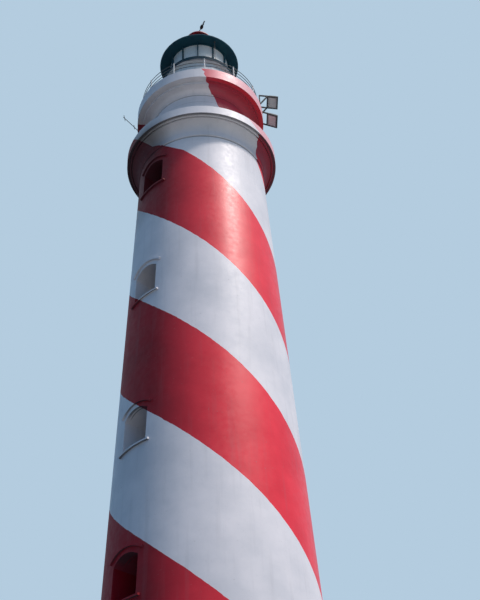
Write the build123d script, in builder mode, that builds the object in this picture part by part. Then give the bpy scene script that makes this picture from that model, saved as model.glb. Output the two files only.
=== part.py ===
"""A round masonry lighthouse in red and white spiral bands, built as a model at half the real size.

The tower stands on the ground at the origin with its axis on Z. Azimuths are counted from the side that
faces -Y, positive towards +X, because the windows are set out from that side. All lengths are in
millimetres of the model, so the real tower is twice as large. Heights are given course by course, so
a taller course lifts everything above it.
"""

import os
from math import cos, radians, sin, sqrt

from build123d import *

os.makedirs("parts", exist_ok=True)

# The battered shaft, laid in six lifts from the ground up
GROUND_RADIUS = 1816.0
BATTER = 0.040
HEAD_WALL = 392.0
LIFT_HEIGHTS = [2800.0, 2600.0, 2600.0, 2700.0, 2800.0, 2100.0]
GROUND_FLOOR = 75.0

# The plinth at the ground
PLINTH_HEIGHT = 300.0
PLINTH_PROJECTION = 130.0
PLINTH_WEATHERING = 60.0

# Windows: one in each lift above the first, on the front left and on the opposite side
WINDOW_AZIMUTH = -48.8
SILLS_ABOVE_LIFT_JOINTS = [1080.0, 1170.0, 960.0, 1190.0, 1070.0]
WINDOW_WIDTH = 540.0
WINDOW_HEIGHT = 666.0
WINDOW_RISE = 95.0
FRAME_SEAT = 60.0
FRAME_WIDTH = 34.0
FRAME_DEPTH = 46.0
GLAZING_BAR = 18.0
GLAZING_BAR_DEPTH = 26.0
PANE_THICKNESS = 8.0
TRANSOM_HEIGHT = 346.0
SILL_HEIGHT = 40.0
SILL_FALL = 14.0
SILL_PROJECTION = 36.0
SILL_OVERHANG = 70.0
HOOD_SPAN = 680.0
HOOD_RISE = 104.0
HOOD_CLEARANCE = 74.0
HOOD_WIDTH = 35.0
HOOD_PROJECTION = 30.0

# The entrance at the foot of the window column
DOOR_WIDTH = 620.0
DOOR_HEIGHT = 1105.0
DOOR_RISE = 190.0
DOOR_SET_BACK = 380.0
DOOR_LEAF = 45.0
DOOR_REBATE = 20.0
DOOR_FRAME = 55.0
DOOR_FRAME_DEPTH = 90.0

# The bead round the shaft head
ASTRAGAL_DROP = 40.0
ASTRAGAL_RADIUS = 20.0

# The lower cornice
NECK_HEIGHT = 90.0
COVE_HEIGHT = 181.0
COVE_PROJECTION = 158.0
COVE_SAGITTA = 37.0
COVE_FILLET = 26.0
CORNICE_PROJECTION = 105.0
CORNICE_FASCIA = 210.0
CORNICE_ARRIS = 15.0
GROOVE_EDGE = 28.0
GROOVE_WIDTH = 24.0
GROOVE_DEPTH = 12.0
WEATHERING_RISE = 90.0

# The watch room, with a string bead under the coved cornice of the gallery
WATCH_WALL = 180.0
WATCH_WALL_HEIGHT = 825.0
STRING_HEIGHT = 34.0
STRING_PROJECTION = 17.0
UPPER_COVE_HEIGHT = 87.0
UPPER_COVE_SAGITTA = 25.0
FRIEZE_PROJECTION = 190.0
FRIEZE_STEP = 20.0
FRIEZE_HEIGHT = 65.0

# The gallery deck
DECK_PROJECTION = 115.0
DECK_THICKNESS = 264.0
DECK_ARRIS = 12.0
HATCH_RADIUS = 300.0

# The gallery railing
RAILING_SET_BACK = 88.0
POST_COUNT = 12
POST_AZIMUTH = 5.0
POST_RADIUS = 12.0
POST_HEIGHT = 410.0
POST_FOOT_RADIUS = 26.0
POST_FOOT_HEIGHT = 10.0
POST_BALL_RADIUS = 19.0
RAIL_RADIUS = 6.5
RAIL_COUNT = 4
RAIL_DROP = 8.0

# The lantern
MURETTE_RADIUS = 687.0
MURETTE_WALL = 45.0
MURETTE_HEIGHT = 1028.0
GALLERY_DOOR_AZIMUTH = 180.0
GALLERY_DOOR_WIDTH = 380.0
GALLERY_DOOR_HEIGHT = 880.0
GALLERY_DOOR_STEP = 60.0
GALLERY_DOOR_RECESS = 10.0
GALLERY_DOOR_LEAF = 24.0
CATWALK_PROJECTION = 75.0
CATWALK_THICKNESS = 102.0
GLASS_SET_BACK = 68.0
GLASS_SEAT = 29.0
GLASS_THICKNESS = 8.0
GLASS_HEIGHT = 612.0
BAR_COUNT = 12
BAR_AZIMUTH = -2.0
BAR_WIDTH = 20.0
BAR_DEPTH = 38.0
EAVE_PROJECTION = 229.0
EAVE_THICKNESS = 34.0
GUTTER_RADIUS = 26.0
DOME_SETBACK = 20.0
DOME_RISE = 582.0
DOME_SAGITTA = 87.0
DOME_SHELL = 22.0
DOME_RIB_COUNT = 12
DOME_RIB_HEIGHT = 12.0
DOME_RIB_WIDTH = 12.0

# The ventilator
COLLAR_RADIUS = 140.0
COLLAR_LAND = 20.0
COLLAR_HEIGHT = 26.0
VENT_NECK_RADIUS = 92.0
VENT_NECK_HEIGHT = 344.0
CAP_RADIUS = 181.0
CAP_RIM = 60.0
CAP_RISE = 140.0
CAP_SAGITTA = 28.0
STUB_RADIUS = 27.0
STUB_HEIGHT = 75.0

# The wind vane
SPINDLE_RADIUS = 13.0
SPINDLE_LENGTH = 65.0
BEARING_CLEARANCE = 0.3
HUB_RADIUS = 27.0
HUB_HEIGHT = 80.0
HUB_CLEARANCE = 5.5
VANE_AZIMUTH = 26.0
VANE_REACH = 350.0
VANE_ROD_RADIUS = 9.0
VANE_THICKNESS = 6.0
TAIL_ROOT = 105.0
TAIL_END = 300.0
TAIL_NOTCH = 35.0
TAIL_ROOT_HEIGHT = 40.0
TAIL_HEIGHT = 130.0
POINTER_LENGTH = 95.0
POINTER_HEIGHT = 84.0

# The floodlights on the right: a mast of two uprights that carries two rectangular frames
FLOOD_AZIMUTH = 90.0
FLOOD_BAR = 24.0
FLOOD_SPACING = 300.0
MAST_SET_BACK = 45.0
MAST_PLATE = 50.0
MAST_PLATE_THICKNESS = 10.0
LAMP_FRAME_REACH = 212.0
UPPER_LAMP_REACH = 231.0
UPPER_LAMP_HEIGHT = 517.0
UPPER_LAMP_DROOP = 10.0
LOWER_LAMP_REACH = 191.0
LOWER_LAMP_HEIGHT = -70.0
LOWER_LAMP_DROOP = 25.0
BRACE_FOOT_HEIGHT = 278.0
LAMP_HOUSING_DEPTH = 90.0
LAMP_TAPER = 16.0
LAMP_RIM = 14.0
LAMP_GLASS = 6.0

# The slanting aerial rod on the left
AERIAL_AZIMUTH = -96.0
AERIAL_REACH = 330.0
AERIAL_FOOT_HEIGHT = 90.0
AERIAL_RISE = 502.0
AERIAL_ROD_RADIUS = 7.0
AERIAL_CROSS_RADIUS = 5.5
AERIAL_CROSS_DISTANCES = [170.0, 560.0]
AERIAL_CROSS_LENGTHS = [110.0, 150.0]
AERIAL_PLATE = 90.0
AERIAL_PLATE_THICKNESS = 15.0

# Levels that follow from the courses
LIFT_JOINTS = [sum(LIFT_HEIGHTS[:count]) for count in range(len(LIFT_HEIGHTS) + 1)]
WINDOW_SILLS = [joint + rise for joint, rise in zip(LIFT_JOINTS[1:], SILLS_ABOVE_LIFT_JOINTS)]
HEAD_FOOT = LIFT_JOINTS[-1]
COVE_FOOT = HEAD_FOOT + NECK_HEIGHT
COVE_TOP = COVE_FOOT + COVE_HEIGHT
CORNICE_SOFFIT = COVE_TOP + COVE_FILLET
CORNICE_TOP = CORNICE_SOFFIT + CORNICE_FASCIA
WATCH_FOOT = CORNICE_TOP + WEATHERING_RISE
STRING_FOOT = WATCH_FOOT + WATCH_WALL_HEIGHT
STRING_TOP = STRING_FOOT + STRING_HEIGHT
FRIEZE_FOOT = STRING_TOP + UPPER_COVE_HEIGHT
DECK_SOFFIT = FRIEZE_FOOT + FRIEZE_HEIGHT
DECK_TOP = DECK_SOFFIT + DECK_THICKNESS
CATWALK_SOFFIT = DECK_TOP + MURETTE_HEIGHT
CATWALK_TOP = CATWALK_SOFFIT + CATWALK_THICKNESS
EAVE_SOFFIT = CATWALK_TOP + GLASS_HEIGHT
DOME_FOOT = EAVE_SOFFIT + EAVE_THICKNESS
DOME_TOP = DOME_FOOT + DOME_RISE
COLLAR_TOP = DOME_TOP + COLLAR_HEIGHT
CAP_FOOT = COLLAR_TOP + VENT_NECK_HEIGHT
CAP_TOP = CAP_FOOT + CAP_RIM + CAP_RISE
STUB_TOP = CAP_TOP + STUB_HEIGHT
SPINDLE_TOP = STUB_TOP + SPINDLE_LENGTH
HUB_FOOT = STUB_TOP + HUB_CLEARANCE
BORE_TOP = SPINDLE_TOP + BEARING_CLEARANCE
VANE_HEIGHT = HUB_FOOT + HUB_HEIGHT / 2

# Radii that follow from the wall below: each course projects from, or stands back on, the one that carries it
HEAD_RADIUS = GROUND_RADIUS - BATTER * HEAD_FOOT
WELL_RADIUS = HEAD_RADIUS - HEAD_WALL
COVE_RADIUS = HEAD_RADIUS + COVE_PROJECTION
CORNICE_RADIUS = COVE_RADIUS + CORNICE_PROJECTION
WATCH_RADIUS = WELL_RADIUS + WATCH_WALL
FRIEZE_RADIUS = WATCH_RADIUS + FRIEZE_PROJECTION
DECK_RADIUS = FRIEZE_RADIUS + DECK_PROJECTION
RAILING_RADIUS = DECK_RADIUS - RAILING_SET_BACK
CATWALK_RADIUS = MURETTE_RADIUS + CATWALK_PROJECTION
GLASS_RADIUS = MURETTE_RADIUS - GLASS_SET_BACK
LANTERN_CURB = GLASS_RADIUS - GLASS_SEAT
EAVE_RADIUS = GLASS_RADIUS + EAVE_PROJECTION
MAST_RADIUS = DECK_RADIUS - MAST_SET_BACK
UPPER_LAMP_RADIUS = DECK_RADIUS + UPPER_LAMP_REACH
LOWER_LAMP_RADIUS = DECK_RADIUS + LOWER_LAMP_REACH

# Openings are cut outwards from a plane inside the well
CUT_START = WELL_RADIUS / 2
CUT_LENGTH = GROUND_RADIUS + PLINTH_PROJECTION


def shaft_radius(height):
    """Outer radius of the battered wall at a height above the ground."""
    return GROUND_RADIUS - BATTER * height


def heading(azimuth):
    """Unit direction, flat, of an azimuth counted from -Y towards +X."""
    return Vector(sin(radians(azimuth)), -cos(radians(azimuth)), 0)


def wall_plane(azimuth, distance, height):
    """Upright plane facing outwards at an azimuth, with its own Y axis pointing up."""
    out = heading(azimuth)
    along = Vector(-out.Y, out.X, 0)
    return Plane(origin=out * distance + Vector(0, 0, height), x_dir=along, z_dir=out)


def profile_plane(azimuth, height=0.0):
    """Upright plane through the axis: its X axis points outwards, its Y axis up."""
    out = heading(azimuth)
    return Plane(origin=(0, 0, height), x_dir=out, z_dir=Vector(out.Y, -out.X, 0))


def save(piece, name):
    """Label a finished piece and write its STEP file."""
    piece.part.label = name
    export_step(piece.part, f"parts/{name}.step")


def ring_outline(points):
    """Closed straight-sided outline from radius and height pairs."""
    Polyline(*points, close=True)


def arch_outline(width, height, rise, inset=0.0, foot=0.0):
    """Outline of an arch-headed opening, or of one drawn a set distance inside it."""
    arc_radius = ((width / 2) ** 2 + rise**2) / (2 * rise)
    half = width / 2 - inset
    spring = height - arc_radius + sqrt((arc_radius - inset) ** 2 - half**2)
    Polyline((-half, spring), (-half, foot), (half, foot), (half, spring))
    ThreePointArc((half, spring), (0, height - inset), (-half, spring))


def wall_band(low, high, inner, outer):
    """Band round the axis between two levels, whose faces lean with the given radii at each level."""
    with BuildSketch(Plane.XZ) as section:
        with BuildLine():
            ring_outline([(inner(low), low), (outer(low), low), (outer(high), high), (inner(high), high)])
        make_face()
    revolve(section.sketch, axis=Axis.Z)


# The shaft: six lifts, each in a front and a back half with one opening in the middle of each half
WINDOW_SIDES = {"front": WINDOW_AZIMUTH, "back": WINDOW_AZIMUTH + 180.0}

for number in range(len(LIFT_HEIGHTS)):
    low = LIFT_JOINTS[number]
    high = LIFT_JOINTS[number + 1]
    for side, azimuth in WINDOW_SIDES.items():
        with BuildPart() as lift:
            with BuildSketch(profile_plane(azimuth - 90)):
                with BuildLine():
                    ring_outline(
                        [
                            (WELL_RADIUS, low),
                            (shaft_radius(low), low),
                            (shaft_radius(high), high),
                            (WELL_RADIUS, high),
                        ]
                    )
                make_face()
            revolve(axis=Axis.Z, revolution_arc=180)
            if number > 0:
                with BuildSketch(wall_plane(azimuth, CUT_START, WINDOW_SILLS[number - 1])):
                    with BuildLine():
                        arch_outline(WINDOW_WIDTH, WINDOW_HEIGHT, WINDOW_RISE)
                    make_face()
                extrude(amount=CUT_LENGTH, mode=Mode.SUBTRACT)
            elif side == "front":
                with BuildSketch(wall_plane(azimuth, CUT_START, 0)):
                    with BuildLine():
                        arch_outline(DOOR_WIDTH, GROUND_FLOOR + DOOR_HEIGHT, DOOR_RISE)
                    make_face()
                extrude(amount=CUT_LENGTH, mode=Mode.SUBTRACT)
        save(lift, f"shaft_lift_{number + 1}_{side}")

# The plinth course, open at the doorway
with BuildPart() as plinth:
    with BuildSketch(Plane.XZ):
        with BuildLine():
            ring_outline(
                [
                    (shaft_radius(0), 0),
                    (GROUND_RADIUS + PLINTH_PROJECTION, 0),
                    (GROUND_RADIUS + PLINTH_PROJECTION, PLINTH_HEIGHT - PLINTH_WEATHERING),
                    (shaft_radius(PLINTH_HEIGHT), PLINTH_HEIGHT),
                ]
            )
        make_face()
    revolve(axis=Axis.Z)
    with BuildSketch(wall_plane(WINDOW_AZIMUTH, CUT_START, 0)):
        Rectangle(DOOR_WIDTH, PLINTH_HEIGHT, align=(Align.CENTER, Align.MIN))
    extrude(amount=CUT_LENGTH, mode=Mode.SUBTRACT)
save(plinth, "plinth")

# The floor inside, level with the threshold
with BuildPart() as floor:
    Cylinder(WELL_RADIUS, GROUND_FLOOR, align=(Align.CENTER, Align.CENTER, Align.MIN))
save(floor, "ground_floor")

with BuildPart() as threshold:
    with BuildSketch(wall_plane(WINDOW_AZIMUTH, CUT_START, 0)):
        Rectangle(DOOR_WIDTH, GROUND_FLOOR, align=(Align.CENTER, Align.MIN))
    extrude(amount=GROUND_RADIUS + PLINTH_PROJECTION - CUT_START)
    add(floor.part, mode=Mode.SUBTRACT)
save(threshold, "door_threshold")

# The entrance: a closed door in an arched frame, set back in the wall
DOOR_FACE = GROUND_RADIUS - DOOR_SET_BACK

with BuildPart() as door_frame:
    with BuildSketch(wall_plane(WINDOW_AZIMUTH, DOOR_FACE, GROUND_FLOOR)):
        with BuildLine():
            arch_outline(DOOR_WIDTH, DOOR_HEIGHT, DOOR_RISE)
        make_face()
        with BuildLine():
            arch_outline(DOOR_WIDTH, DOOR_HEIGHT, DOOR_RISE, inset=DOOR_FRAME)
        make_face(mode=Mode.SUBTRACT)
    extrude(amount=-DOOR_FRAME_DEPTH)
save(door_frame, "door_frame")

with BuildPart() as door:
    with BuildSketch(wall_plane(WINDOW_AZIMUTH, DOOR_FACE - DOOR_REBATE, GROUND_FLOOR)):
        with BuildLine():
            arch_outline(DOOR_WIDTH, DOOR_HEIGHT, DOOR_RISE, inset=DOOR_FRAME)
        make_face()
    extrude(amount=-DOOR_LEAF)
save(door, "door_leaf")

# Window sills: blocks that follow the curve of the wall, with a sloping top
with BuildPart() as sills:
    for azimuth in WINDOW_SIDES.values():
        for sill in WINDOW_SILLS:
            foot = sill - SILL_HEIGHT
            with BuildPart(mode=Mode.PRIVATE) as block:
                with BuildSketch(Plane.XZ):
                    with BuildLine():
                        ring_outline(
                            [
                                (shaft_radius(foot), foot),
                                (shaft_radius(sill) + SILL_PROJECTION, foot),
                                (shaft_radius(sill) + SILL_PROJECTION, sill - SILL_FALL),
                                (shaft_radius(sill), sill),
                            ]
                        )
                    make_face()
                revolve(axis=Axis.Z)
                with BuildSketch(wall_plane(azimuth, CUT_START, foot)):
                    Rectangle(
                        WINDOW_WIDTH + 2 * SILL_OVERHANG, SILL_HEIGHT, align=(Align.CENTER, Align.MIN)
                    )
                extrude(amount=CUT_LENGTH, mode=Mode.INTERSECT)
            add(block.part)
save(sills, "window_sills")

# Label moulds: a thin arch over each window that follows the curve of the wall
HOOD_RADIUS = ((HOOD_SPAN / 2) ** 2 + HOOD_RISE**2) / (2 * HOOD_RISE)
HOOD_END = (HOOD_SPAN / 2) * (HOOD_RADIUS + HOOD_WIDTH) / HOOD_RADIUS
HOOD_END_DROP = (HOOD_RADIUS + HOOD_WIDTH) * (1 - (HOOD_RADIUS - HOOD_RISE) / HOOD_RADIUS)


def hood_face(plane):
    """Sketch of the mould from the front: two concentric arcs closed by radial ends."""
    crown = WINDOW_HEIGHT + HOOD_CLEARANCE
    spring = crown - HOOD_RISE
    outer_crown = crown + HOOD_WIDTH
    outer_spring = outer_crown - HOOD_END_DROP
    with BuildSketch(plane) as face:
        with BuildLine():
            ThreePointArc((-HOOD_SPAN / 2, spring), (0, crown), (HOOD_SPAN / 2, spring))
            Line((HOOD_SPAN / 2, spring), (HOOD_END, outer_spring))
            ThreePointArc((HOOD_END, outer_spring), (0, outer_crown), (-HOOD_END, outer_spring))
            Line((-HOOD_END, outer_spring), (-HOOD_SPAN / 2, spring))
        make_face()
    return face.sketch


def hood_outer(height):
    """Outer radius of the label moulds at a level."""
    return shaft_radius(height) + HOOD_PROJECTION


with BuildPart() as hoods:
    for azimuth in WINDOW_SIDES.values():
        for sill in WINDOW_SILLS:
            with BuildPart(mode=Mode.PRIVATE) as mould:
                wall_band(
                    sill + WINDOW_HEIGHT - WINDOW_RISE,
                    sill + WINDOW_HEIGHT + HOOD_CLEARANCE + 2 * HOOD_WIDTH,
                    shaft_radius,
                    hood_outer,
                )
                extrude(
                    hood_face(wall_plane(azimuth, CUT_START, sill)), amount=CUT_LENGTH, mode=Mode.INTERSECT
                )
            add(mould.part)
save(hoods, "window_hoods")

# Fixed timber windows deep in the reveals: an arched frame, one mullion and one transom
FRAME_FACE = WELL_RADIUS + FRAME_SEAT

with BuildPart() as frames:
    for azimuth in WINDOW_SIDES.values():
        for sill in WINDOW_SILLS:
            with BuildPart(mode=Mode.PRIVATE) as window:
                with BuildSketch(wall_plane(azimuth, FRAME_FACE, sill)) as ring:
                    with BuildLine():
                        arch_outline(WINDOW_WIDTH, WINDOW_HEIGHT, WINDOW_RISE)
                    make_face()
                    with BuildLine():
                        arch_outline(
                            WINDOW_WIDTH, WINDOW_HEIGHT, WINDOW_RISE, inset=FRAME_WIDTH, foot=FRAME_WIDTH
                        )
                    make_face(mode=Mode.SUBTRACT)
                extrude(ring.sketch, amount=-FRAME_DEPTH)
                with BuildSketch(wall_plane(azimuth, FRAME_FACE, sill)) as cross:
                    with Locations((0, WINDOW_HEIGHT / 2)):
                        Rectangle(GLAZING_BAR, WINDOW_HEIGHT - FRAME_WIDTH)
                    with Locations((0, TRANSOM_HEIGHT)):
                        Rectangle(WINDOW_WIDTH - FRAME_WIDTH, GLAZING_BAR)
                extrude(cross.sketch, amount=-GLAZING_BAR_DEPTH)
            add(window.part)
save(frames, "window_frames")

with BuildPart() as panes:
    for azimuth in WINDOW_SIDES.values():
        for sill in WINDOW_SILLS:
            with BuildSketch(wall_plane(azimuth, FRAME_FACE - GLAZING_BAR_DEPTH, sill)):
                with BuildLine():
                    arch_outline(
                        WINDOW_WIDTH, WINDOW_HEIGHT, WINDOW_RISE, inset=FRAME_WIDTH, foot=FRAME_WIDTH
                    )
                make_face()
            extrude(amount=-PANE_THICKNESS)
save(panes, "window_panes")

# The bead round the shaft head
with BuildPart() as astragal:
    middle = HEAD_FOOT - ASTRAGAL_DROP
    with BuildSketch(Plane.XZ) as bead:
        with Locations((shaft_radius(middle), middle)):
            Circle(ASTRAGAL_RADIUS)
    revolve(bead.sketch, axis=Axis.Z)
    low = middle - ASTRAGAL_DROP
    with BuildSketch(Plane.XZ) as core:
        with BuildLine():
            ring_outline(
                [(0, low), (shaft_radius(low), low), (shaft_radius(HEAD_FOOT), HEAD_FOOT), (0, HEAD_FOOT)]
            )
        make_face()
    revolve(core.sketch, axis=Axis.Z, mode=Mode.SUBTRACT)
save(astragal, "shaft_astragal")

# The lower cornice: a neck, a cove, a grooved soffit, a fascia and a sloping top
with BuildPart() as lower_cornice:
    groove_outside = CORNICE_RADIUS - GROOVE_EDGE
    groove_inside = groove_outside - GROOVE_WIDTH
    with BuildSketch(Plane.XZ):
        with BuildLine():
            Polyline(
                (HEAD_RADIUS, COVE_FOOT),
                (HEAD_RADIUS, HEAD_FOOT),
                (WELL_RADIUS, HEAD_FOOT),
                (WELL_RADIUS, WATCH_FOOT),
                (WATCH_RADIUS, WATCH_FOOT),
                (CORNICE_RADIUS - CORNICE_ARRIS, CORNICE_TOP),
                (CORNICE_RADIUS, CORNICE_TOP - CORNICE_ARRIS),
                (CORNICE_RADIUS, CORNICE_SOFFIT),
                (groove_outside, CORNICE_SOFFIT),
                (groove_outside, CORNICE_SOFFIT + GROOVE_DEPTH),
                (groove_inside, CORNICE_SOFFIT + GROOVE_DEPTH),
                (groove_inside, CORNICE_SOFFIT),
                (COVE_RADIUS, CORNICE_SOFFIT),
                (COVE_RADIUS, COVE_TOP),
            )
            SagittaArc((COVE_RADIUS, COVE_TOP), (HEAD_RADIUS, COVE_FOOT), -COVE_SAGITTA)
        make_face()
    revolve(axis=Axis.Z)
save(lower_cornice, "lower_cornice")

# The watch room: a plain round wall, then a bead and a cove that carry the gallery
with BuildPart() as watch_wall:
    with BuildSketch(Plane.XY.offset(WATCH_FOOT)):
        Circle(WATCH_RADIUS)
        Circle(WELL_RADIUS, mode=Mode.SUBTRACT)
    extrude(amount=WATCH_WALL_HEIGHT)
save(watch_wall, "watch_room_wall")

with BuildPart() as upper_cornice:
    with BuildSketch(Plane.XZ):
        with BuildLine():
            Polyline(
                (FRIEZE_RADIUS - FRIEZE_STEP, FRIEZE_FOOT),
                (FRIEZE_RADIUS, FRIEZE_FOOT),
                (FRIEZE_RADIUS, DECK_SOFFIT),
                (WELL_RADIUS, DECK_SOFFIT),
                (WELL_RADIUS, STRING_FOOT),
                (WATCH_RADIUS, STRING_FOOT),
            )
            ThreePointArc(
                (WATCH_RADIUS, STRING_FOOT),
                (WATCH_RADIUS + STRING_PROJECTION, STRING_FOOT + STRING_HEIGHT / 2),
                (WATCH_RADIUS, STRING_TOP),
            )
            SagittaArc(
                (WATCH_RADIUS, STRING_TOP), (FRIEZE_RADIUS - FRIEZE_STEP, FRIEZE_FOOT), UPPER_COVE_SAGITTA
            )
        make_face()
    revolve(axis=Axis.Z)
save(upper_cornice, "upper_cornice")

# The gallery deck, with the hatch to the lantern room in the middle
with BuildPart() as deck:
    with BuildSketch(Plane.XZ):
        with BuildLine():
            ring_outline(
                [
                    (HATCH_RADIUS, DECK_SOFFIT),
                    (DECK_RADIUS, DECK_SOFFIT),
                    (DECK_RADIUS, DECK_TOP - DECK_ARRIS),
                    (DECK_RADIUS - DECK_ARRIS, DECK_TOP),
                    (HATCH_RADIUS, DECK_TOP),
                ]
            )
        make_face()
    revolve(axis=Axis.Z)
save(deck, "gallery_deck")

# The railing: four rails threaded through posts with a foot plate and a ball
RAIL_HEIGHTS = [
    DECK_TOP - RAIL_DROP + POST_HEIGHT * (step + 1) / RAIL_COUNT for step in range(RAIL_COUNT)
]

with BuildPart() as rails:
    for height in RAIL_HEIGHTS:
        with BuildSketch(Plane.XZ):
            with Locations((RAILING_RADIUS, height)):
                Circle(RAIL_RADIUS)
        revolve(axis=Axis.Z)
save(rails, "gallery_rails")

with BuildPart() as posts:
    for index in range(POST_COUNT):
        spot = heading(POST_AZIMUTH + index * 360 / POST_COUNT) * RAILING_RADIUS
        with Locations((spot.X, spot.Y, DECK_TOP)):
            Cylinder(POST_RADIUS, POST_HEIGHT, align=(Align.CENTER, Align.CENTER, Align.MIN))
            Cylinder(
                POST_FOOT_RADIUS,
                POST_FOOT_HEIGHT,
                align=(Align.CENTER, Align.CENTER, Align.MIN),
            )
        with Locations((spot.X, spot.Y, DECK_TOP + POST_HEIGHT)):
            Sphere(POST_BALL_RADIUS)
    add(rails.part, mode=Mode.SUBTRACT)
save(posts, "gallery_posts")

# The murette: the iron wall under the lantern, with a closed door to the gallery at the back
with BuildPart() as doorway:
    with BuildSketch(wall_plane(GALLERY_DOOR_AZIMUTH, LANTERN_CURB / 2, DECK_TOP + GALLERY_DOOR_STEP)):
        Rectangle(GALLERY_DOOR_WIDTH, GALLERY_DOOR_HEIGHT, align=(Align.CENTER, Align.MIN))
    extrude(amount=LANTERN_CURB)

with BuildPart() as murette:
    with BuildSketch(Plane.XY.offset(DECK_TOP)):
        Circle(MURETTE_RADIUS)
        Circle(MURETTE_RADIUS - MURETTE_WALL, mode=Mode.SUBTRACT)
    extrude(amount=MURETTE_HEIGHT)
    add(doorway.part, mode=Mode.SUBTRACT)
save(murette, "lantern_murette")

with BuildPart() as gallery_door:
    with BuildSketch(Plane.XY.offset(DECK_TOP)):
        Circle(MURETTE_RADIUS - GALLERY_DOOR_RECESS)
        Circle(MURETTE_RADIUS - GALLERY_DOOR_RECESS - GALLERY_DOOR_LEAF, mode=Mode.SUBTRACT)
    extrude(amount=MURETTE_HEIGHT)
    add(doorway.part, mode=Mode.INTERSECT)
save(gallery_door, "gallery_door")

# The lantern: a catwalk ring, glass with upright glazing bars, and an eave with a round gutter
with BuildPart() as catwalk:
    with BuildSketch(Plane.XY.offset(CATWALK_SOFFIT)):
        Circle(CATWALK_RADIUS)
        Circle(LANTERN_CURB, mode=Mode.SUBTRACT)
    extrude(amount=CATWALK_THICKNESS)
save(catwalk, "lantern_sill_ring")

with BuildPart() as glass:
    with BuildSketch(Plane.XY.offset(CATWALK_TOP)):
        Circle(GLASS_RADIUS)
        Circle(GLASS_RADIUS - GLASS_THICKNESS, mode=Mode.SUBTRACT)
    extrude(amount=GLASS_HEIGHT)
save(glass, "lantern_glass")

with BuildPart() as bars:
    with BuildSketch(Plane.XY.offset(CATWALK_TOP)):
        with PolarLocations(GLASS_RADIUS, BAR_COUNT, start_angle=BAR_AZIMUTH - 90):
            Rectangle(2 * BAR_DEPTH, BAR_WIDTH)
        Circle(GLASS_RADIUS, mode=Mode.SUBTRACT)
    extrude(amount=GLASS_HEIGHT)
save(bars, "lantern_glazing_bars")

GUTTER_CENTRE = EAVE_RADIUS - GUTTER_RADIUS

with BuildPart() as eave:
    with BuildSketch(Plane.XZ):
        with BuildLine():
            ring_outline(
                [
                    (LANTERN_CURB, EAVE_SOFFIT),
                    (GUTTER_CENTRE, EAVE_SOFFIT),
                    (GUTTER_CENTRE, DOME_FOOT),
                    (LANTERN_CURB, DOME_FOOT),
                ]
            )
        make_face()
        with Locations((GUTTER_CENTRE, EAVE_SOFFIT + GUTTER_RADIUS)):
            Circle(GUTTER_RADIUS)
    revolve(axis=Axis.Z)
save(eave, "lantern_eave")

# The dome: a thin shell of revolution with standing ribs over the glazing bars
DOME_RADIUS = GUTTER_CENTRE - GUTTER_RADIUS - DOME_SETBACK
DOME_OPENING = COLLAR_RADIUS - COLLAR_LAND

with BuildPart() as dome:
    with BuildSketch(Plane.XZ):
        with BuildLine():
            SagittaArc((DOME_RADIUS, DOME_FOOT), (COLLAR_RADIUS, DOME_TOP), -DOME_SAGITTA)
            Polyline(
                (COLLAR_RADIUS, DOME_TOP),
                (DOME_OPENING, DOME_TOP),
                (DOME_OPENING, DOME_TOP - DOME_SHELL),
            )
            SagittaArc(
                (DOME_OPENING, DOME_TOP - DOME_SHELL), (DOME_RADIUS - DOME_SHELL, DOME_FOOT), DOME_SAGITTA
            )
            Line((DOME_RADIUS - DOME_SHELL, DOME_FOOT), (DOME_RADIUS, DOME_FOOT))
        make_face()
    revolve(axis=Axis.Z)
save(dome, "lantern_dome")

with BuildPart() as ribs:
    for index in range(DOME_RIB_COUNT):
        with BuildPart(mode=Mode.PRIVATE) as rib:
            with BuildSketch(profile_plane(BAR_AZIMUTH + index * 360 / DOME_RIB_COUNT)):
                with BuildLine():
                    SagittaArc(
                        (DOME_RADIUS, DOME_FOOT + DOME_RIB_HEIGHT),
                        (COLLAR_RADIUS + DOME_RIB_HEIGHT, DOME_TOP),
                        -DOME_SAGITTA,
                    )
                    Line(
                        (COLLAR_RADIUS + DOME_RIB_HEIGHT, DOME_TOP),
                        (COLLAR_RADIUS, DOME_TOP - DOME_SHELL / 2),
                    )
                    SagittaArc(
                        (COLLAR_RADIUS, DOME_TOP - DOME_SHELL / 2),
                        (DOME_RADIUS - DOME_SHELL / 2, DOME_FOOT),
                        DOME_SAGITTA,
                    )
                    Polyline(
                        (DOME_RADIUS - DOME_SHELL / 2, DOME_FOOT),
                        (DOME_RADIUS, DOME_FOOT),
                        (DOME_RADIUS, DOME_FOOT + DOME_RIB_HEIGHT),
                    )
                make_face()
            extrude(amount=DOME_RIB_WIDTH / 2, both=True)
            add(dome.part, mode=Mode.SUBTRACT)
        add(rib.part)
save(ribs, "dome_ribs")

# The ventilator: a collar, a neck, a domed cap and the spindle of the wind vane
with BuildPart() as vent:
    with BuildSketch(Plane.XZ):
        with BuildLine():
            Polyline(
                (0, DOME_TOP),
                (COLLAR_RADIUS, DOME_TOP),
                (COLLAR_RADIUS, COLLAR_TOP),
                (VENT_NECK_RADIUS, COLLAR_TOP),
                (VENT_NECK_RADIUS, CAP_FOOT),
                (CAP_RADIUS, CAP_FOOT),
                (CAP_RADIUS, CAP_FOOT + CAP_RIM),
            )
            SagittaArc((CAP_RADIUS, CAP_FOOT + CAP_RIM), (STUB_RADIUS, CAP_TOP), -CAP_SAGITTA)
            Polyline(
                (STUB_RADIUS, CAP_TOP),
                (STUB_RADIUS, STUB_TOP),
                (SPINDLE_RADIUS, STUB_TOP),
                (SPINDLE_RADIUS, SPINDLE_TOP),
                (0, SPINDLE_TOP),
                (0, DOME_TOP),
            )
        make_face()
    revolve(axis=Axis.Z)
save(vent, "ventilator_and_spindle")

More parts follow.
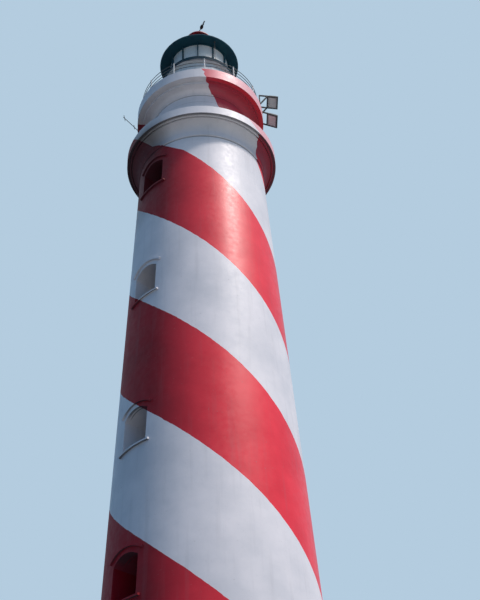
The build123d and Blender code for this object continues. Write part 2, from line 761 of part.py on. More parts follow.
# The wind vane: a hub that turns on the spindle, an arm with a pointer and a forked tail plate
with BuildPart() as vane:
    with BuildSketch(Plane.XY.offset(HUB_FOOT)) as hub:
        Circle(HUB_RADIUS)
    extrude(hub.sketch, amount=HUB_HEIGHT)
    arm_end = heading(VANE_AZIMUTH) * -VANE_REACH + Vector(0, 0, VANE_HEIGHT)
    with BuildSketch(Plane(origin=arm_end, z_dir=heading(VANE_AZIMUTH))) as arm:
        Circle(VANE_ROD_RADIUS)
    extrude(arm.sketch, amount=2 * VANE_REACH)
    with BuildSketch(profile_plane(VANE_AZIMUTH, VANE_HEIGHT)) as plates:
        with BuildLine():
            Polyline(
                (TAIL_ROOT, -TAIL_ROOT_HEIGHT / 2),
                (TAIL_END, -TAIL_HEIGHT / 2),
                (TAIL_END - TAIL_NOTCH, 0),
                (TAIL_END, TAIL_HEIGHT / 2),
                (TAIL_ROOT, TAIL_ROOT_HEIGHT / 2),
                close=True,
            )
        make_face()
        with BuildLine():
            Polyline(
                (-VANE_REACH - VANE_ROD_RADIUS, 0),
                (POINTER_LENGTH - VANE_REACH, POINTER_HEIGHT / 2),
                (POINTER_LENGTH - VANE_REACH, -POINTER_HEIGHT / 2),
                close=True,
            )
        make_face()
    extrude(plates.sketch, amount=VANE_THICKNESS / 2, both=True)
    with BuildSketch(Plane.XY.offset(HUB_FOOT)) as bore:
        Circle(SPINDLE_RADIUS + BEARING_CLEARANCE)
    extrude(bore.sketch, amount=BORE_TOP - HUB_FOOT, mode=Mode.SUBTRACT)
save(vane, "wind_vane")

# The floodlight mast, set out in a frame whose axes run along the deck edge, up, and outwards
MAST_FRAME = wall_plane(FLOOD_AZIMUTH, 0, DECK_TOP)
MAST_SIDES = (-FLOOD_SPACING / 2, FLOOD_SPACING / 2)
ALONG_EDGE = MAST_FRAME.x_dir


def mast_point(along, up, out):
    """Point of the model from the mast's own frame."""
    return MAST_FRAME.from_local_coords(Vector(along, up, out))


def mast_bar(start, end, across=ALONG_EDGE):
    """Square bar between two points, with one pair of faces across the given direction."""
    with BuildSketch(Plane(origin=start, x_dir=across, z_dir=end - start)) as section:
        Rectangle(FLOOD_BAR, FLOOD_BAR)
    extrude(section.sketch, amount=(end - start).length)


def lamp_line(radius, height, droop, out, side):
    """Point on the sloping arm of a lamp frame at a distance from the axis."""
    return mast_point(side, height - (out - radius) * sin(radians(droop)) / cos(radians(droop)), out)


def lamp_frame(radius, height, droop):
    """Two sloping arms from the mast and the two cross bars that close the frame."""
    half = LAMP_FRAME_REACH / 2 * cos(radians(droop))
    tip = radius + half + FLOOD_BAR / 2 * cos(radians(droop))
    for side in MAST_SIDES:
        mast_bar(
            lamp_line(radius, height, droop, MAST_RADIUS, side),
            lamp_line(radius, height, droop, tip, side),
        )
    for out in (radius - half, radius + half):
        near = lamp_line(radius, height, droop, out, MAST_SIDES[0])
        far = lamp_line(radius, height, droop, out, MAST_SIDES[1])
        slope = lamp_line(radius, height, droop, tip, MAST_SIDES[0]) - near
        mast_bar(near, far, across=slope)


LAMPS = {
    "upper": (UPPER_LAMP_RADIUS, UPPER_LAMP_HEIGHT, UPPER_LAMP_DROOP),
    "lower": (LOWER_LAMP_RADIUS, LOWER_LAMP_HEIGHT, LOWER_LAMP_DROOP),
}

with BuildPart() as bracket:
    radius, height, droop = LAMPS["upper"]
    half = LAMP_FRAME_REACH / 2 * cos(radians(droop))
    for side in MAST_SIDES:
        mast_bar(mast_point(side, 0, MAST_RADIUS), lamp_line(radius, height, droop, MAST_RADIUS, side))
        mast_bar(
            mast_point(side, BRACE_FOOT_HEIGHT, MAST_RADIUS),
            lamp_line(radius, height, droop, radius - half, side),
        )
        with BuildSketch(Plane(origin=mast_point(side, 0, MAST_RADIUS))) as plate:
            Rectangle(MAST_PLATE, MAST_PLATE)
        extrude(plate.sketch, amount=MAST_PLATE_THICKNESS)
    for radius, height, droop in LAMPS.values():
        lamp_frame(radius, height, droop)
save(bracket, "floodlight_bracket")


def lamp_plane(radius, height, droop, drop):
    """Plane across a lamp frame, facing down the beam, moved along the beam by a distance."""
    beam = mast_point(0, -cos(radians(droop)), -sin(radians(droop))) - mast_point(0, 0, 0)
    return Plane(origin=mast_point(0, height, radius) + beam * drop, x_dir=ALONG_EDGE, z_dir=beam)


# The floodlight housings: each fills its frame, faces down and narrows towards its back
HOUSING_WIDTH = FLOOD_SPACING - FLOOD_BAR
HOUSING_LENGTH = LAMP_FRAME_REACH - FLOOD_BAR

for name, (radius, height, droop) in LAMPS.items():
    with BuildPart() as housing:
        with BuildSketch(lamp_plane(radius, height, droop, FLOOD_BAR / 2)) as mouth:
            Rectangle(HOUSING_WIDTH, HOUSING_LENGTH)
        extrude(mouth.sketch, amount=-FLOOD_BAR)
        with BuildSketch(lamp_plane(radius, height, droop, -FLOOD_BAR / 2)) as back:
            Rectangle(HOUSING_WIDTH, HOUSING_LENGTH)
        extrude(back.sketch, amount=FLOOD_BAR - LAMP_HOUSING_DEPTH, taper=LAMP_TAPER)
        with BuildSketch(lamp_plane(radius, height, droop, FLOOD_BAR / 2)) as recess:
            Rectangle(HOUSING_WIDTH - 2 * LAMP_RIM, HOUSING_LENGTH - 2 * LAMP_RIM)
        extrude(recess.sketch, amount=-LAMP_RIM, mode=Mode.SUBTRACT)
    save(housing, f"{name}_floodlight")

with BuildPart() as lamp_glasses:
    for radius, height, droop in LAMPS.values():
        with BuildSketch(lamp_plane(radius, height, droop, FLOOD_BAR / 2 - LAMP_RIM)) as pane:
            Rectangle(HOUSING_WIDTH - 2 * LAMP_RIM, HOUSING_LENGTH - 2 * LAMP_RIM)
        extrude(pane.sketch, amount=LAMP_GLASS)
save(lamp_glasses, "floodlight_glasses")

# The slanting aerial rod on the left of the gallery, with its plate and two cross rods
AERIAL_FOOT = heading(AERIAL_AZIMUTH) * DECK_RADIUS + Vector(0, 0, DECK_SOFFIT + AERIAL_FOOT_HEIGHT)
AERIAL_SPAN = heading(AERIAL_AZIMUTH) * AERIAL_REACH + Vector(0, 0, AERIAL_RISE)
AERIAL_WAY = AERIAL_SPAN.normalized()
AERIAL_ALONG = wall_plane(AERIAL_AZIMUTH, 0, 0).x_dir

with BuildPart() as aerial:
    rod_start = AERIAL_FOOT - AERIAL_WAY * AERIAL_PLATE_THICKNESS
    with BuildSketch(Plane(origin=rod_start, z_dir=AERIAL_WAY)) as rod:
        Circle(AERIAL_ROD_RADIUS)
    extrude(rod.sketch, amount=AERIAL_SPAN.length + AERIAL_PLATE_THICKNESS)
    for distance, length in zip(AERIAL_CROSS_DISTANCES, AERIAL_CROSS_LENGTHS):
        end = AERIAL_FOOT + AERIAL_WAY * distance - AERIAL_ALONG * (length / 2)
        with BuildSketch(Plane(origin=end, z_dir=AERIAL_ALONG)) as cross:
            Circle(AERIAL_CROSS_RADIUS)
        extrude(cross.sketch, amount=length)
    with BuildSketch(wall_plane(AERIAL_AZIMUTH, DECK_RADIUS, DECK_SOFFIT + AERIAL_FOOT_HEIGHT)) as plate:
        Rectangle(AERIAL_PLATE, AERIAL_PLATE)
    extrude(plate.sketch, amount=AERIAL_PLATE_THICKNESS, both=True)
    add(deck.part, mode=Mode.SUBTRACT)
save(aerial, "aerial_rod")
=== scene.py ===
# %% [markdown]
# A banded lighthouse, dressed round its construction model
#
# The construction model gives every wall, moulding, post and plate at its true place. This lesson
# loads it as a fixed frame and adds what the eye reads as real: painted plaster in spiral bands,
# enamelled iron, old timber and glass, and the small hardware that holds such a tower together.
# Lengths are in metres. The tower stands on the origin with its axis along Z, and an azimuth is
# counted in degrees from the front, which is -Y, towards +X, the right of the picture.

from math import cos, pi, radians, sin, sqrt

import bmesh
import bpy
from mathutils import Matrix, Vector


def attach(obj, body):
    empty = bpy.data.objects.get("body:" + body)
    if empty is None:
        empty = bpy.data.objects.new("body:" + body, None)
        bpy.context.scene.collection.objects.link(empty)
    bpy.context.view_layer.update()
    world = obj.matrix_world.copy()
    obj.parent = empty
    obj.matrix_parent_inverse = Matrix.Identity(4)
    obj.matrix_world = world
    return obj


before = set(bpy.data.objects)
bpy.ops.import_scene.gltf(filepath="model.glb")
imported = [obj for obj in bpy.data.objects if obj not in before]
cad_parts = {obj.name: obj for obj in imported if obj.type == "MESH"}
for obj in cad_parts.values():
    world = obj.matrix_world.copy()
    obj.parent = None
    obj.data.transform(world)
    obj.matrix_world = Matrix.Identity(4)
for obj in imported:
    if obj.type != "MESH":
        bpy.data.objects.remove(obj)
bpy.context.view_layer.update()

# %% [markdown]
# Colours are easiest to choose as sRGB hex values, the way a paint chart gives them. A shader works
# in linear light, so one function turns them over.

# %% A helper for colours
def linear(hex_code):
    """Turn an sRGB hex colour such as "A3142C" into linear red, green, blue and alpha."""
    channels = [int(hex_code[i:i + 2], 16) / 255 for i in (0, 2, 4)]
    return [c / 12.92 if c <= 0.04045 else ((c + 0.055) / 1.055) ** 2.4 for c in channels] + [1.0]


print("paint white in linear light:", [round(c, 3) for c in linear("E8E6EB")])

# %% [markdown]
# Each finish below is a small net of nodes, and one function adds a node with its settings. It takes
# the inputs in the node's own order, or by name, and hands back the output that carries the answer.
# A noise, for one, takes its place, scale, detail and roughness in that order. Its scale is worked
# out from the size of one of its clouds in millimetres, so that a pattern is as large as the real one.

# %% Helpers for nodes
def fill(tree, socket, value):
    """Link an input to another socket, or set it to a plain value."""
    if isinstance(value, bpy.types.NodeSocket):
        tree.links.new(value, socket)
    else:
        socket.default_value = value


def add(tree, kind, inputs=(), out=None, **settings):
    """Add one node with its settings and inputs, and return its first output or the named one."""
    node = tree.nodes.new("ShaderNode" + kind)
    for name, value in settings.items():
        setattr(node, name, value)
    in_use = [socket for socket in node.inputs if socket.enabled]
    if isinstance(inputs, dict):
        in_use = [node.inputs[name] for name in inputs]
        inputs = inputs.values()
    for socket, value in zip(in_use, inputs):
        fill(tree, socket, value)
    outputs = [socket for socket in node.outputs if socket.enabled and out in (None, socket.name)]
    return outputs[0] if outputs else None


def per_metre(size):
    """Scale of a pattern whose clouds are this many millimetres across."""
    return 1000 / size


print("waves 200 mm wide have a scale of", per_metre(200))

# %% [markdown]
# Every material starts the same way, from its name and the place of a point on the tower. That place
# is in metres and does not stop at a joint, so one pattern runs on over all pieces. In the end the
# colour, the roughness and the relief go to the shader.

# %% Helpers for materials
def new_material(name):
    """Start a node material, and return it with its tree and the place on the tower in metres."""
    material = bpy.data.materials.new(name)
    material.use_nodes = True
    return material, material.node_tree, add(material.node_tree, "TexCoord", out="Object")


def shade(material, values):
    """Set or link inputs of a material's shader; what is even all over stays on its own socket."""
    tree = material.node_tree
    for name, value in values.items():
        fill(tree, tree.nodes["Principled BSDF"].inputs[name], value)


print("material helpers:", new_material.__name__, shade.__name__)

# %% [markdown]
# The bands are a two-start spiral: two red and two white bands wind round the tower, and each spans
# about a quarter of a turn's climb. A painter snaps such lines with a cord, so the edge is a helix:
# the height falls by the same amount for every degree walked to the right. The bands could be cut
# into the mesh or painted on an unwrapped image. Here the shader works them out from the place of
# each point, so that the edge stays sharp from any distance and runs on over every moulding.

# %% The numbers of the spiral and the place of a point
BAND_TOP = 14.825
RED_RISE = 2.0745
WHITE_RISE = 2.1000
BAND_PAIR = RED_RISE + WHITE_RISE
FALL_PER_RADIAN = -2 * BAND_PAIR / (2 * pi)
# How far the painted edge wanders either way, and the size of its waves in millimetres
EDGE_WANDER = 0.006
EDGE_WAVES = 111.1


def tower_place(tree, place):
    """Return a point's azimuth in radians, its height and its distance from the tower's axis."""
    across, depth, height = add(tree, "SeparateXYZ", [place]).node.outputs
    towards_front = add(tree, "Math", [depth, -1.0], operation="MULTIPLY")
    azimuth = add(tree, "Math", [across, towards_front], operation="ARCTAN2")
    radius = add(tree, "VectorMath", [add(tree, "CombineXYZ", [across, depth])], operation="LENGTH")
    return azimuth, height, radius


print("one red and one white band climb", round(BAND_PAIR, 3), "m")

# %% [markdown]
# On the moulded head the painter worked by eye and let the lines stray. Three small curves over the
# height push the edges sideways there. Each curve is a table of heights and degrees, and the node
# that reads it gives shares of a band pair.

# %% Where the edges stray on the head
HEAD_FROM = 15.2
HEAD_TO = 17.6
SHARE_PER_DEGREE = -FALL_PER_RADIAN * radians(1) / BAND_PAIR
# How far both edges stray to the right, and then how far each edge of the red draws in
BOTH_STRAY = [(15.20, 0), (16.10, 0), (16.30, 8), (16.77, 14), (16.90, 17.3), (17.00, 20), (17.11, 19.3),
              (17.15, 17.8), (17.23, 18.2), (17.30, 20.1), (17.36, 23.5), (17.60, 26)]
RIGHT_DRAWS_IN = [(15.20, 0), (15.29, 2), (15.45, 4), (15.65, 6), (15.74, 10), (15.90, 9), (16.08, 8),
                  (16.30, 0), (17.60, 0)]
LEFT_DRAWS_IN = [(15.20, 0), (15.54, 0), (15.58, 6), (15.82, 10.5), (15.87, 8), (15.95, 5), (16.10, 3),
                 (16.30, 0), (17.60, 0)]


def height_curve(tree, height, table):
    """Read a table of heights and degrees as a curve, and return shares of a band pair."""
    answer = add(tree, "FloatCurve", {"Value": add(tree, "MapRange", [height, HEAD_FROM, HEAD_TO])})
    curve = answer.node.mapping.curves[0]
    points = [((z - HEAD_FROM) / (HEAD_TO - HEAD_FROM), degrees * SHARE_PER_DEGREE) for z, degrees in table]
    curve.points[0].location = points[0]
    curve.points[1].location = points[-1]
    for x, y in points[1:-1]:
        curve.points.new(x, y)
    for point in curve.points:
        point.handle_type = "VECTOR"
    answer.node.mapping.update()
    return answer


print("the lines stray by up to", max(degrees for _, degrees in BOTH_STRAY), "degrees")

# %% [markdown]
# The mask measures how far a point lies below the helix, lets the edge wander a few millimetres as a
# brush does, and folds the distance into one pair of bands. A point is red while it lies between the
# two edges.

# %% The spiral mask
def spiral_mask(tree, place, azimuth, height):
    """Return a socket that is 1 on the red bands and 0 on the white ones."""
    helix = add(tree, "Math", [azimuth, FALL_PER_RADIAN, BAND_TOP], operation="MULTIPLY_ADD")
    below = add(tree, "Math", [helix, height], operation="SUBTRACT")
    waves = add(tree, "TexNoise", [place, per_metre(EDGE_WAVES), 3.0, 0.5])
    shaky = add(tree, "MapRange", [waves, 0.3, 0.7, -EDGE_WANDER, EDGE_WANDER])
    fallen = add(tree, "Math", [below, shaky], operation="ADD")
    share = add(tree, "Math", [fallen, BAND_PAIR], operation="DIVIDE")
    strayed = add(tree, "Math", [share, height_curve(tree, height, BOTH_STRAY)], operation="ADD")
    folded = add(tree, "Math", [strayed], operation="FRACT")
    first = height_curve(tree, height, RIGHT_DRAWS_IN)
    drawn_in = height_curve(tree, height, LEFT_DRAWS_IN)
    last = add(tree, "Math", [RED_RISE / BAND_PAIR, drawn_in], operation="SUBTRACT")
    after = add(tree, "Math", [folded, first], operation="GREATER_THAN")
    before = add(tree, "Math", [folded, last], operation="LESS_THAN")
    return add(tree, "Math", [after, before], operation="MULTIPLY")


print("red share of a band pair:", round(RED_RISE / BAND_PAIR, 3))

# %% [markdown]
# The wall is masonry under lime plaster, trowelled by hand and coated with paint. Its wear, and the light and
# shade painted into it, are a stack of masks: where the surface faces up or down, how high it is, which way
# it looks, and clouds of noise. Masks could be painted by hand, but ones that are worked out fit every piece,
# and keep the same grain from one piece to the next.

# %% Helpers for masks
def where_all(tree, *masks):
    """Multiply masks, so that the result is 1 only where each of them is."""
    result = masks[0]
    for mask in masks[1:]:
        result = add(tree, "Math", [result, mask], operation="MULTIPLY")
    return result


def between(tree, value, low, high):
    """A mask that is 1 between two values, with soft ends."""
    ease = 0.3 * (high - low)
    rising = add(tree, "MapRange", [value, low, low + ease])
    return where_all(tree, rising, add(tree, "MapRange", [value, high, high - ease]))


def faces_up(tree):
    """How far the surface faces up, from -1 to 1."""
    return add(tree, "SeparateXYZ", [add(tree, "NewGeometry", out="Normal")], out="Z")


def looks_to(tree, azimuth, bearing):
    """Cosine of the angle between a point's azimuth and a bearing: 1 where the wall looks that way."""
    apart = add(tree, "Math", [azimuth, bearing], operation="SUBTRACT")
    return add(tree, "Math", [apart], operation="COSINE")


print("a wall that looks 60 degrees away has the cosine", round(cos(radians(60)), 2))

# %% [markdown]
# Rain marks and grain are noise that is squeezed across and drawn out along the height. Relief is
# stacked from wide to fine, as each bump takes the one before it as its ground. Tones are laid over
# a paint one after another, like glazes.

# %% Helpers for streaks, relief and layers
def drawn_out(tree, place, width, length, detail):
    """Noise drawn out along the height, as rain marks and timber grain are; sizes in millimetres."""
    scale = (per_metre(width), per_metre(width), per_metre(length))
    return add(tree, "TexNoise", [add(tree, "Mapping", {"Vector": place, "Scale": scale}), 1.0, detail, 0.5])


def layered_relief(tree, *layers):
    """Stack reliefs from wide to fine; each is a height, its depth in metres and its strength."""
    below = {}
    for height, depth, strength in layers:
        inputs = {"Height": height, "Distance": depth, "Strength": strength}
        below = {"Normal": add(tree, "Bump", {**inputs, **below})}
    return below["Normal"]


def lay_over(tree, paint, layers):
    """Lay tones over a paint in turn; each layer is its mask and its hex colour."""
    for mask, tone in layers:
        paint = add(tree, "Mix", [mask, paint, linear(tone)], data_type="RGBA")
    return paint


# 363C44 is the dark tone of the painted shade under the cornices.
print("a grime tone in linear light:", [round(c, 3) for c in linear("363C44")])

# %% [markdown]
# White masonry paint chalks to a cooler grey in patches. The red is an enamel, and light and shade are
# painted into it: a bright red on the side that faces the key light and a deep red on the lee side. Above the
# lower cornice it is dusty, and undersides take a darker, duller red as painted shade. One flat colour for
# each coat would look like plastic, so a coat is two tones mixed by clouds, and the dust and the painted
# shade are laid over them.

# %% The white and the red coat
# Bearing of the side that faces the key light. The red is painted brighter towards it, and the lantern glass
# gets a painted glare there.
SUNNY_SIDE = radians(65)
# Foot and full height of the sheltered wall above the lower cornice, and its outer and inner radius
WATCH_ROOM_FOOT = (16.15, 16.30)
WATCH_ROOM_WALL = (1.22, 1.19)
# Between these heights the painted shade on undersides falls from the first strength to the second
UNDERSIDE_SHADE_FADE = (16.0, 16.3, 0.8, 0.3)


def white_coat(tree, clouds):
    """White masonry paint, chalked in clouds."""
    chalk = add(tree, "MapRange", [clouds, 0.36, 0.68])
    return add(tree, "Mix", [chalk, linear("E8E6EB"), linear("D3D4DB")], data_type="RGBA")


def red_coat(tree, clouds, sunny, height, radius, up):
    """Red enamel with painted light and shade: bright towards the key light, deep on the lee side, dusty
    above the lower cornice, with painted shade on undersides.
    """
    patches = add(tree, "MapRange", [clouds, 0.38, 0.66])
    # Painted light and shade: a deep red on the lee side and a bright red towards the key light.
    painted_shade_red = add(tree, "Mix", [patches, linear("920A1F"), linear("7C091B")], data_type="RGBA")
    painted_sunlit_red = add(tree, "Mix", [patches, linear("F13949"), linear("DE2C3D")], data_type="RGBA")
    painted_light_share = add(tree, "MapRange", [sunny, -0.12, 0.60])
    red = add(tree, "Mix", [painted_light_share, painted_shade_red, painted_sunlit_red], data_type="RGBA")
    above_cornice = add(tree, "MapRange", [height, *WATCH_ROOM_FOOT])
    dusty = where_all(tree, above_cornice, add(tree, "MapRange", [radius, *WATCH_ROOM_WALL]), 0.75)
    # Painted shade: undersides take a darker, duller red.
    downward = add(tree, "MapRange", [up, -0.10, -0.40])
    painted_underside_shade = where_all(tree, downward, add(tree, "MapRange", [height, *UNDERSIDE_SHADE_FADE]))
    return lay_over(tree, red, [(dusty, "AA4453"), (painted_underside_shade, "7C2F42")])


print("sunny red in linear light:", [round(c, 3) for c in linear("F13949")])

# %% [markdown]
# The outer faces of the two projecting edges turn pink on the right: partly the sun has bleached them, and
# partly a highlight of the key light on the glossy red is painted in. They could have a material of their
# own, but a mask lets the pink fade in along the edge, as it does in life.

# %% The bleached and highlit edges
# Foot and least radius of the gallery deck's edge and of the lower cornice's edge
PROJECTING_EDGES = ((17.2, 1.26), (15.8, 1.44))
# The pink comes in between these azimuths, up to this strength
PINK_FROM, PINK_TO = radians(-6), radians(32)
PINK_STRENGTH = 0.82


def bleached_and_highlit_edges(tree, azimuth, height, radius, up):
    """A mask of the projecting edges where the red is sun-bleached and a highlight is painted in."""
    projecting = 0.0
    for foot, reach in PROJECTING_EDGES:
        high = add(tree, "Math", [height, foot], operation="GREATER_THAN")
        wide = add(tree, "Math", [radius, reach], operation="GREATER_THAN")
        projecting = add(tree, "Math", [projecting, where_all(tree, high, wide)], operation="MAXIMUM")
    outward = add(tree, "MapRange", [up, -0.6, -0.2])
    to_the_right = add(tree, "MapRange", [azimuth, PINK_FROM, PINK_TO, 0.0, PINK_STRENGTH])
    return where_all(tree, projecting, outward, to_the_right)


print("the coats fade on", len(PROJECTING_EDGES), "projecting edges")

# %% [markdown]
# Shade is painted under the two cornices and in the fine lines under a bead or in a joint: a dark tone on the
# flat undersides, and thin dark lines where small shadows fall. The round bead under the lower cornice is
# left out of it and stays light.

# %% Painted shade under the cornices
DECK_UNDERSIDE = 17.1
# Inner and outer radius of the bead under the lower cornice, and where the flat soffit round it starts
SOFFIT_BEAD = (1.366, 1.398)
SOFFIT_START = (1.350, 1.356)
# Foot, head and strength of the painted shadow lines under the astragal and in the joints of the upper
# cornice
SHADOW_LINES = ((15.512, 15.545, 0.65), (16.808, 16.826, 0.22), (16.996, 17.026, 0.55))


def painted_shade_under_cornices(tree, clouds, height, radius, up):
    """Painted shade under the cornices and in the fine lines, thinned by clouds."""
    off_bead = add(tree, "Math", [1.0, between(tree, radius, *SOFFIT_BEAD)], operation="SUBTRACT")
    cornice = where_all(tree, add(tree, "MapRange", [radius, *SOFFIT_START]), 0.72, off_bead)
    deck = where_all(tree, add(tree, "Math", [height, DECK_UNDERSIDE], operation="GREATER_THAN"), 0.14)
    flat_under = add(tree, "MapRange", [up, -0.85, -0.95])
    painted_shade = where_all(tree, add(tree, "Math", [cornice, deck], operation="MAXIMUM"), flat_under)
    for low, high, strength in SHADOW_LINES:
        line = where_all(tree, between(tree, height, low, high), strength)
        painted_shade = add(tree, "Math", [painted_shade, line], operation="MAXIMUM")
    return where_all(tree, painted_shade, add(tree, "MapRange", [clouds, 0.25, 0.6, 0.75, 1.0]))


print("dark lines at heights", [low for low, _, _ in SHADOW_LINES])

# %% [markdown]
# Rain carries dirt down in long streaks, and ledges that face up keep their grime. On the lee side below the
# lower cornice a near-black shade is painted, and the foot of the wall is splashed with soil. Each kind of
# dirt, and the painted shade, is one tone with its own mask. That is easy to tune, and the layers lie in the
# order in which they came.

# %% Rain, painted lee shade and soil
# Sizes of the streaks and the specks in millimetres
STREAK_WIDTH = 90.91
STREAK_LENGTH = 2066
SPECKS = 38.46
LEE_SIDE = radians(-78)
# Heights between which the painted lee shade comes in, and between which it goes out again
LEE_SHADE_FOOT = (13.7, 14.7)
LEE_SHADE_HEAD = (16.2, 15.9)
SOIL_SPLASH = (0.05, 0.75)


def dirt_layers(tree, place, clouds, azimuth, height, radius, up):
    """The dirt and the painted shade on the plaster: each layer's mask and tone, from the first laid to the
    last.
    """
    rain = drawn_out(tree, place, STREAK_WIDTH, STREAK_LENGTH, 4.0)
    streaks = add(tree, "MapRange", [rain, 0.54, 0.80, 0.0, 0.13])
    upward = add(tree, "MapRange", [up, 0.25, 0.8, 0.0, 0.45])
    ledges = where_all(tree, upward, add(tree, "MapRange", [clouds, 0.30, 0.60, 0.45, 1.0]))
    leeward = add(tree, "MapRange", [looks_to(tree, azimuth, LEE_SIDE), 0.60, 0.86, 0.0, 0.70])
    lee_shade_rise = add(tree, "MapRange", [height, *LEE_SHADE_FOOT])
    # Painted shade: a near-black tone on the lee side below the lower cornice.
    painted_lee_shade = where_all(tree, lee_shade_rise, add(tree, "MapRange", [height, *LEE_SHADE_HEAD]), leeward)
    near_ground = add(tree, "MapRange", [height, *SOIL_SPLASH, 0.75, 0.0])
    splashed = where_all(tree, near_ground, add(tree, "MapRange", [clouds, 0.3, 0.6, 0.3, 1.0]))
    spots = add(tree, "TexNoise", [place, per_metre(SPECKS), 4.0, 0.7])
    specks = add(tree, "MapRange", [spots, 0.66, 0.74, 0.0, 0.5])
    # Painted shade under the cornices and in the fine lines, laid as the dark tone 363C44.
    painted_shade = painted_shade_under_cornices(tree, clouds, height, radius, up)
    return [(streaks, "77777C"), (ledges, "9A9890"), (painted_shade, "363C44"), (painted_lee_shade, "20161B"),
            (splashed, "6C6657"), (specks, "8C8A88")]


print("streaks are", round(STREAK_LENGTH / STREAK_WIDTH), "times as long as wide")

# %% [markdown]
# The white paint is matt. The enamel shines most on the sunny side, where rain and wind keep it clean, and
# not on the pink edges, which are bleached and carry a painted highlight. Two materials could say so, but
# then every piece would have to be cut along the bands, so one mask mixes the two values.

# %% The gloss of the wall
WALL_ROUGHNESS = 0.50


def wall_roughness(tree, mask, bleach_and_highlight, sunny, ripples):
    """Roughness of the wall: matt on the white and on the bleached, highlit red, glossy on the rest of the
    red enamel.
    """
    enamel = where_all(tree, mask, add(tree, "Math", [1.0, bleach_and_highlight], operation="SUBTRACT"))
    enamel_roughness = add(tree, "MapRange", [sunny, -0.20, 0.55, 0.66, 0.38])
    apart = add(tree, "Math", [enamel_roughness, WALL_ROUGHNESS], operation="SUBTRACT")
    rough = add(tree, "Math", [enamel, apart, WALL_ROUGHNESS], operation="MULTIPLY_ADD")
    worn = add(tree, "MapRange", [ripples, 0.35, 0.65, -0.05, 0.05])
    return add(tree, "Math", [rough, worn], operation="ADD")


print("roughness of the white paint:", WALL_ROUGHNESS)

# %% [markdown]
# The trowel left gentle waves in the plaster, and the gloss of the red enamel shows them. Real relief
# would take millions of faces, so three bumps from wide to fine do it. The sand in the plaster is
# about 1 mm and would not show in the picture, so its grit is drawn 11 mm wide.

# %% Painted plaster
# Sizes of the patterns in millimetres
CLOUDS = 909.1
TROWEL_WAVES = 384.6
RIPPLES = 90.91
GRIT = 11.11


def banded_plaster(name):
    """White and red masonry paint on plaster trowelled by hand."""
    material, tree, place = new_material(name)
    azimuth, height, radius = tower_place(tree, place)
    mask = spiral_mask(tree, place, azimuth, height)
    clouds = add(tree, "TexNoise", [place, per_metre(CLOUDS), 5.0, 0.6])
    sunny = looks_to(tree, azimuth, SUNNY_SIDE)
    up = faces_up(tree)
    bleach_and_highlight = bleached_and_highlit_edges(tree, azimuth, height, radius, up)
    # The pink laid over the red is partly sun-bleach and partly a painted highlight.
    red = lay_over(tree, red_coat(tree, clouds, sunny, height, radius, up), [(bleach_and_highlight, "E8BEC6")])
    paint = add(tree, "Mix", [mask, white_coat(tree, clouds), red], data_type="RGBA")
    paint = lay_over(tree, paint, dirt_layers(tree, place, clouds, azimuth, height, radius, up))
    trowel = add(tree, "TexNoise", [place, per_metre(TROWEL_WAVES), 2.0, 0.5])
    ripples = add(tree, "TexNoise", [place, per_metre(RIPPLES), 4.0, 0.55])
    grit = add(tree, "TexNoise", [place, per_metre(GRIT), 5.0, 0.6])
    shade(material, {
        "Base Color": paint,
        "Roughness": wall_roughness(tree, mask, bleach_and_highlight, sunny, ripples),
        "Normal": layered_relief(tree, (trowel, 0.010, 0.35), (ripples, 0.002, 0.35), (grit, 0.0015, 0.5)),
        "Specular IOR Level": 0.28,
    })
    return material


banded_paint = banded_plaster("banded_paint_on_trowelled_plaster")
print(banded_paint.name, "has", len(banded_paint.node_tree.nodes), "nodes")

# %% [markdown]
# The threshold and the floor are dressed grey stone. Feet have worn the face smooth and slightly
# greasy in clouds, and pale grains stand in it. Chips could be modelled, but the piece is small, and
# two noises give both its colour and its relief. The grains of such stone are a few millimetres wide
# and are drawn 14 mm wide, so that they show.

# %% Worn stone
# Sizes of the patterns in millimetres
STONE_CLOUDS = 333.3
STONE_GRAINS = 14.29


def worn_stone(name):
    """Dressed stone with a worn, slightly greasy face."""
    material, tree, place = new_material(name)
    clouds = add(tree, "TexNoise", [place, per_metre(STONE_CLOUDS), 6.0, 0.65])
    grains = add(tree, "TexNoise", [place, per_metre(STONE_GRAINS), 5.0, 0.7])
    greasy = add(tree, "MapRange", [clouds, 0.35, 0.65])
    pale = add(tree, "MapRange", [grains, 0.55, 0.7, 0.0, 0.5])
    stone = add(tree, "Mix", [greasy, linear("8D8A82"), linear("6F6C66")], data_type="RGBA")
    shade(material, {
        "Base Color": lay_over(tree, stone, [(pale, "A6A39A")]),
        "Roughness": add(tree, "MapRange", [clouds, 0.3, 0.7, 0.55, 0.85]),
        "Normal": layered_relief(tree, (clouds, 0.006, 0.6), (grains, 0.0015, 0.6)),
    })
    return material


threshold_stone = worn_stone("worn_grey_threshold_stone")
print(threshold_stone.name, "has", len(threshold_stone.node_tree.nodes), "nodes")

# %% [markdown]
# The ironwork is cast and wrought iron under many coats of brushed enamel. The coats drift in colour,
# chalk in the sun and chip in small spots, and a chip shows the red lead or the rust beneath it. A
# thick coat dries with a faint skin like orange peel, which is drawn 6 mm wide so that it shows.
# Galvanised steel and brass are bare metals: the same drift and marks sit on them, and the metallic
# value gives the eye their sheen. The finishes differ in little but their colours, so one function
# makes them all.

# %% Painted iron
# Sizes of the patterns in millimetres
COAT_DRIFT = 285.7
MARK_WIDTH = 37.04
MARK_LENGTH = 416.7
CHIP_SPOTS = 29.41
PEEL_SKIN = 6.25


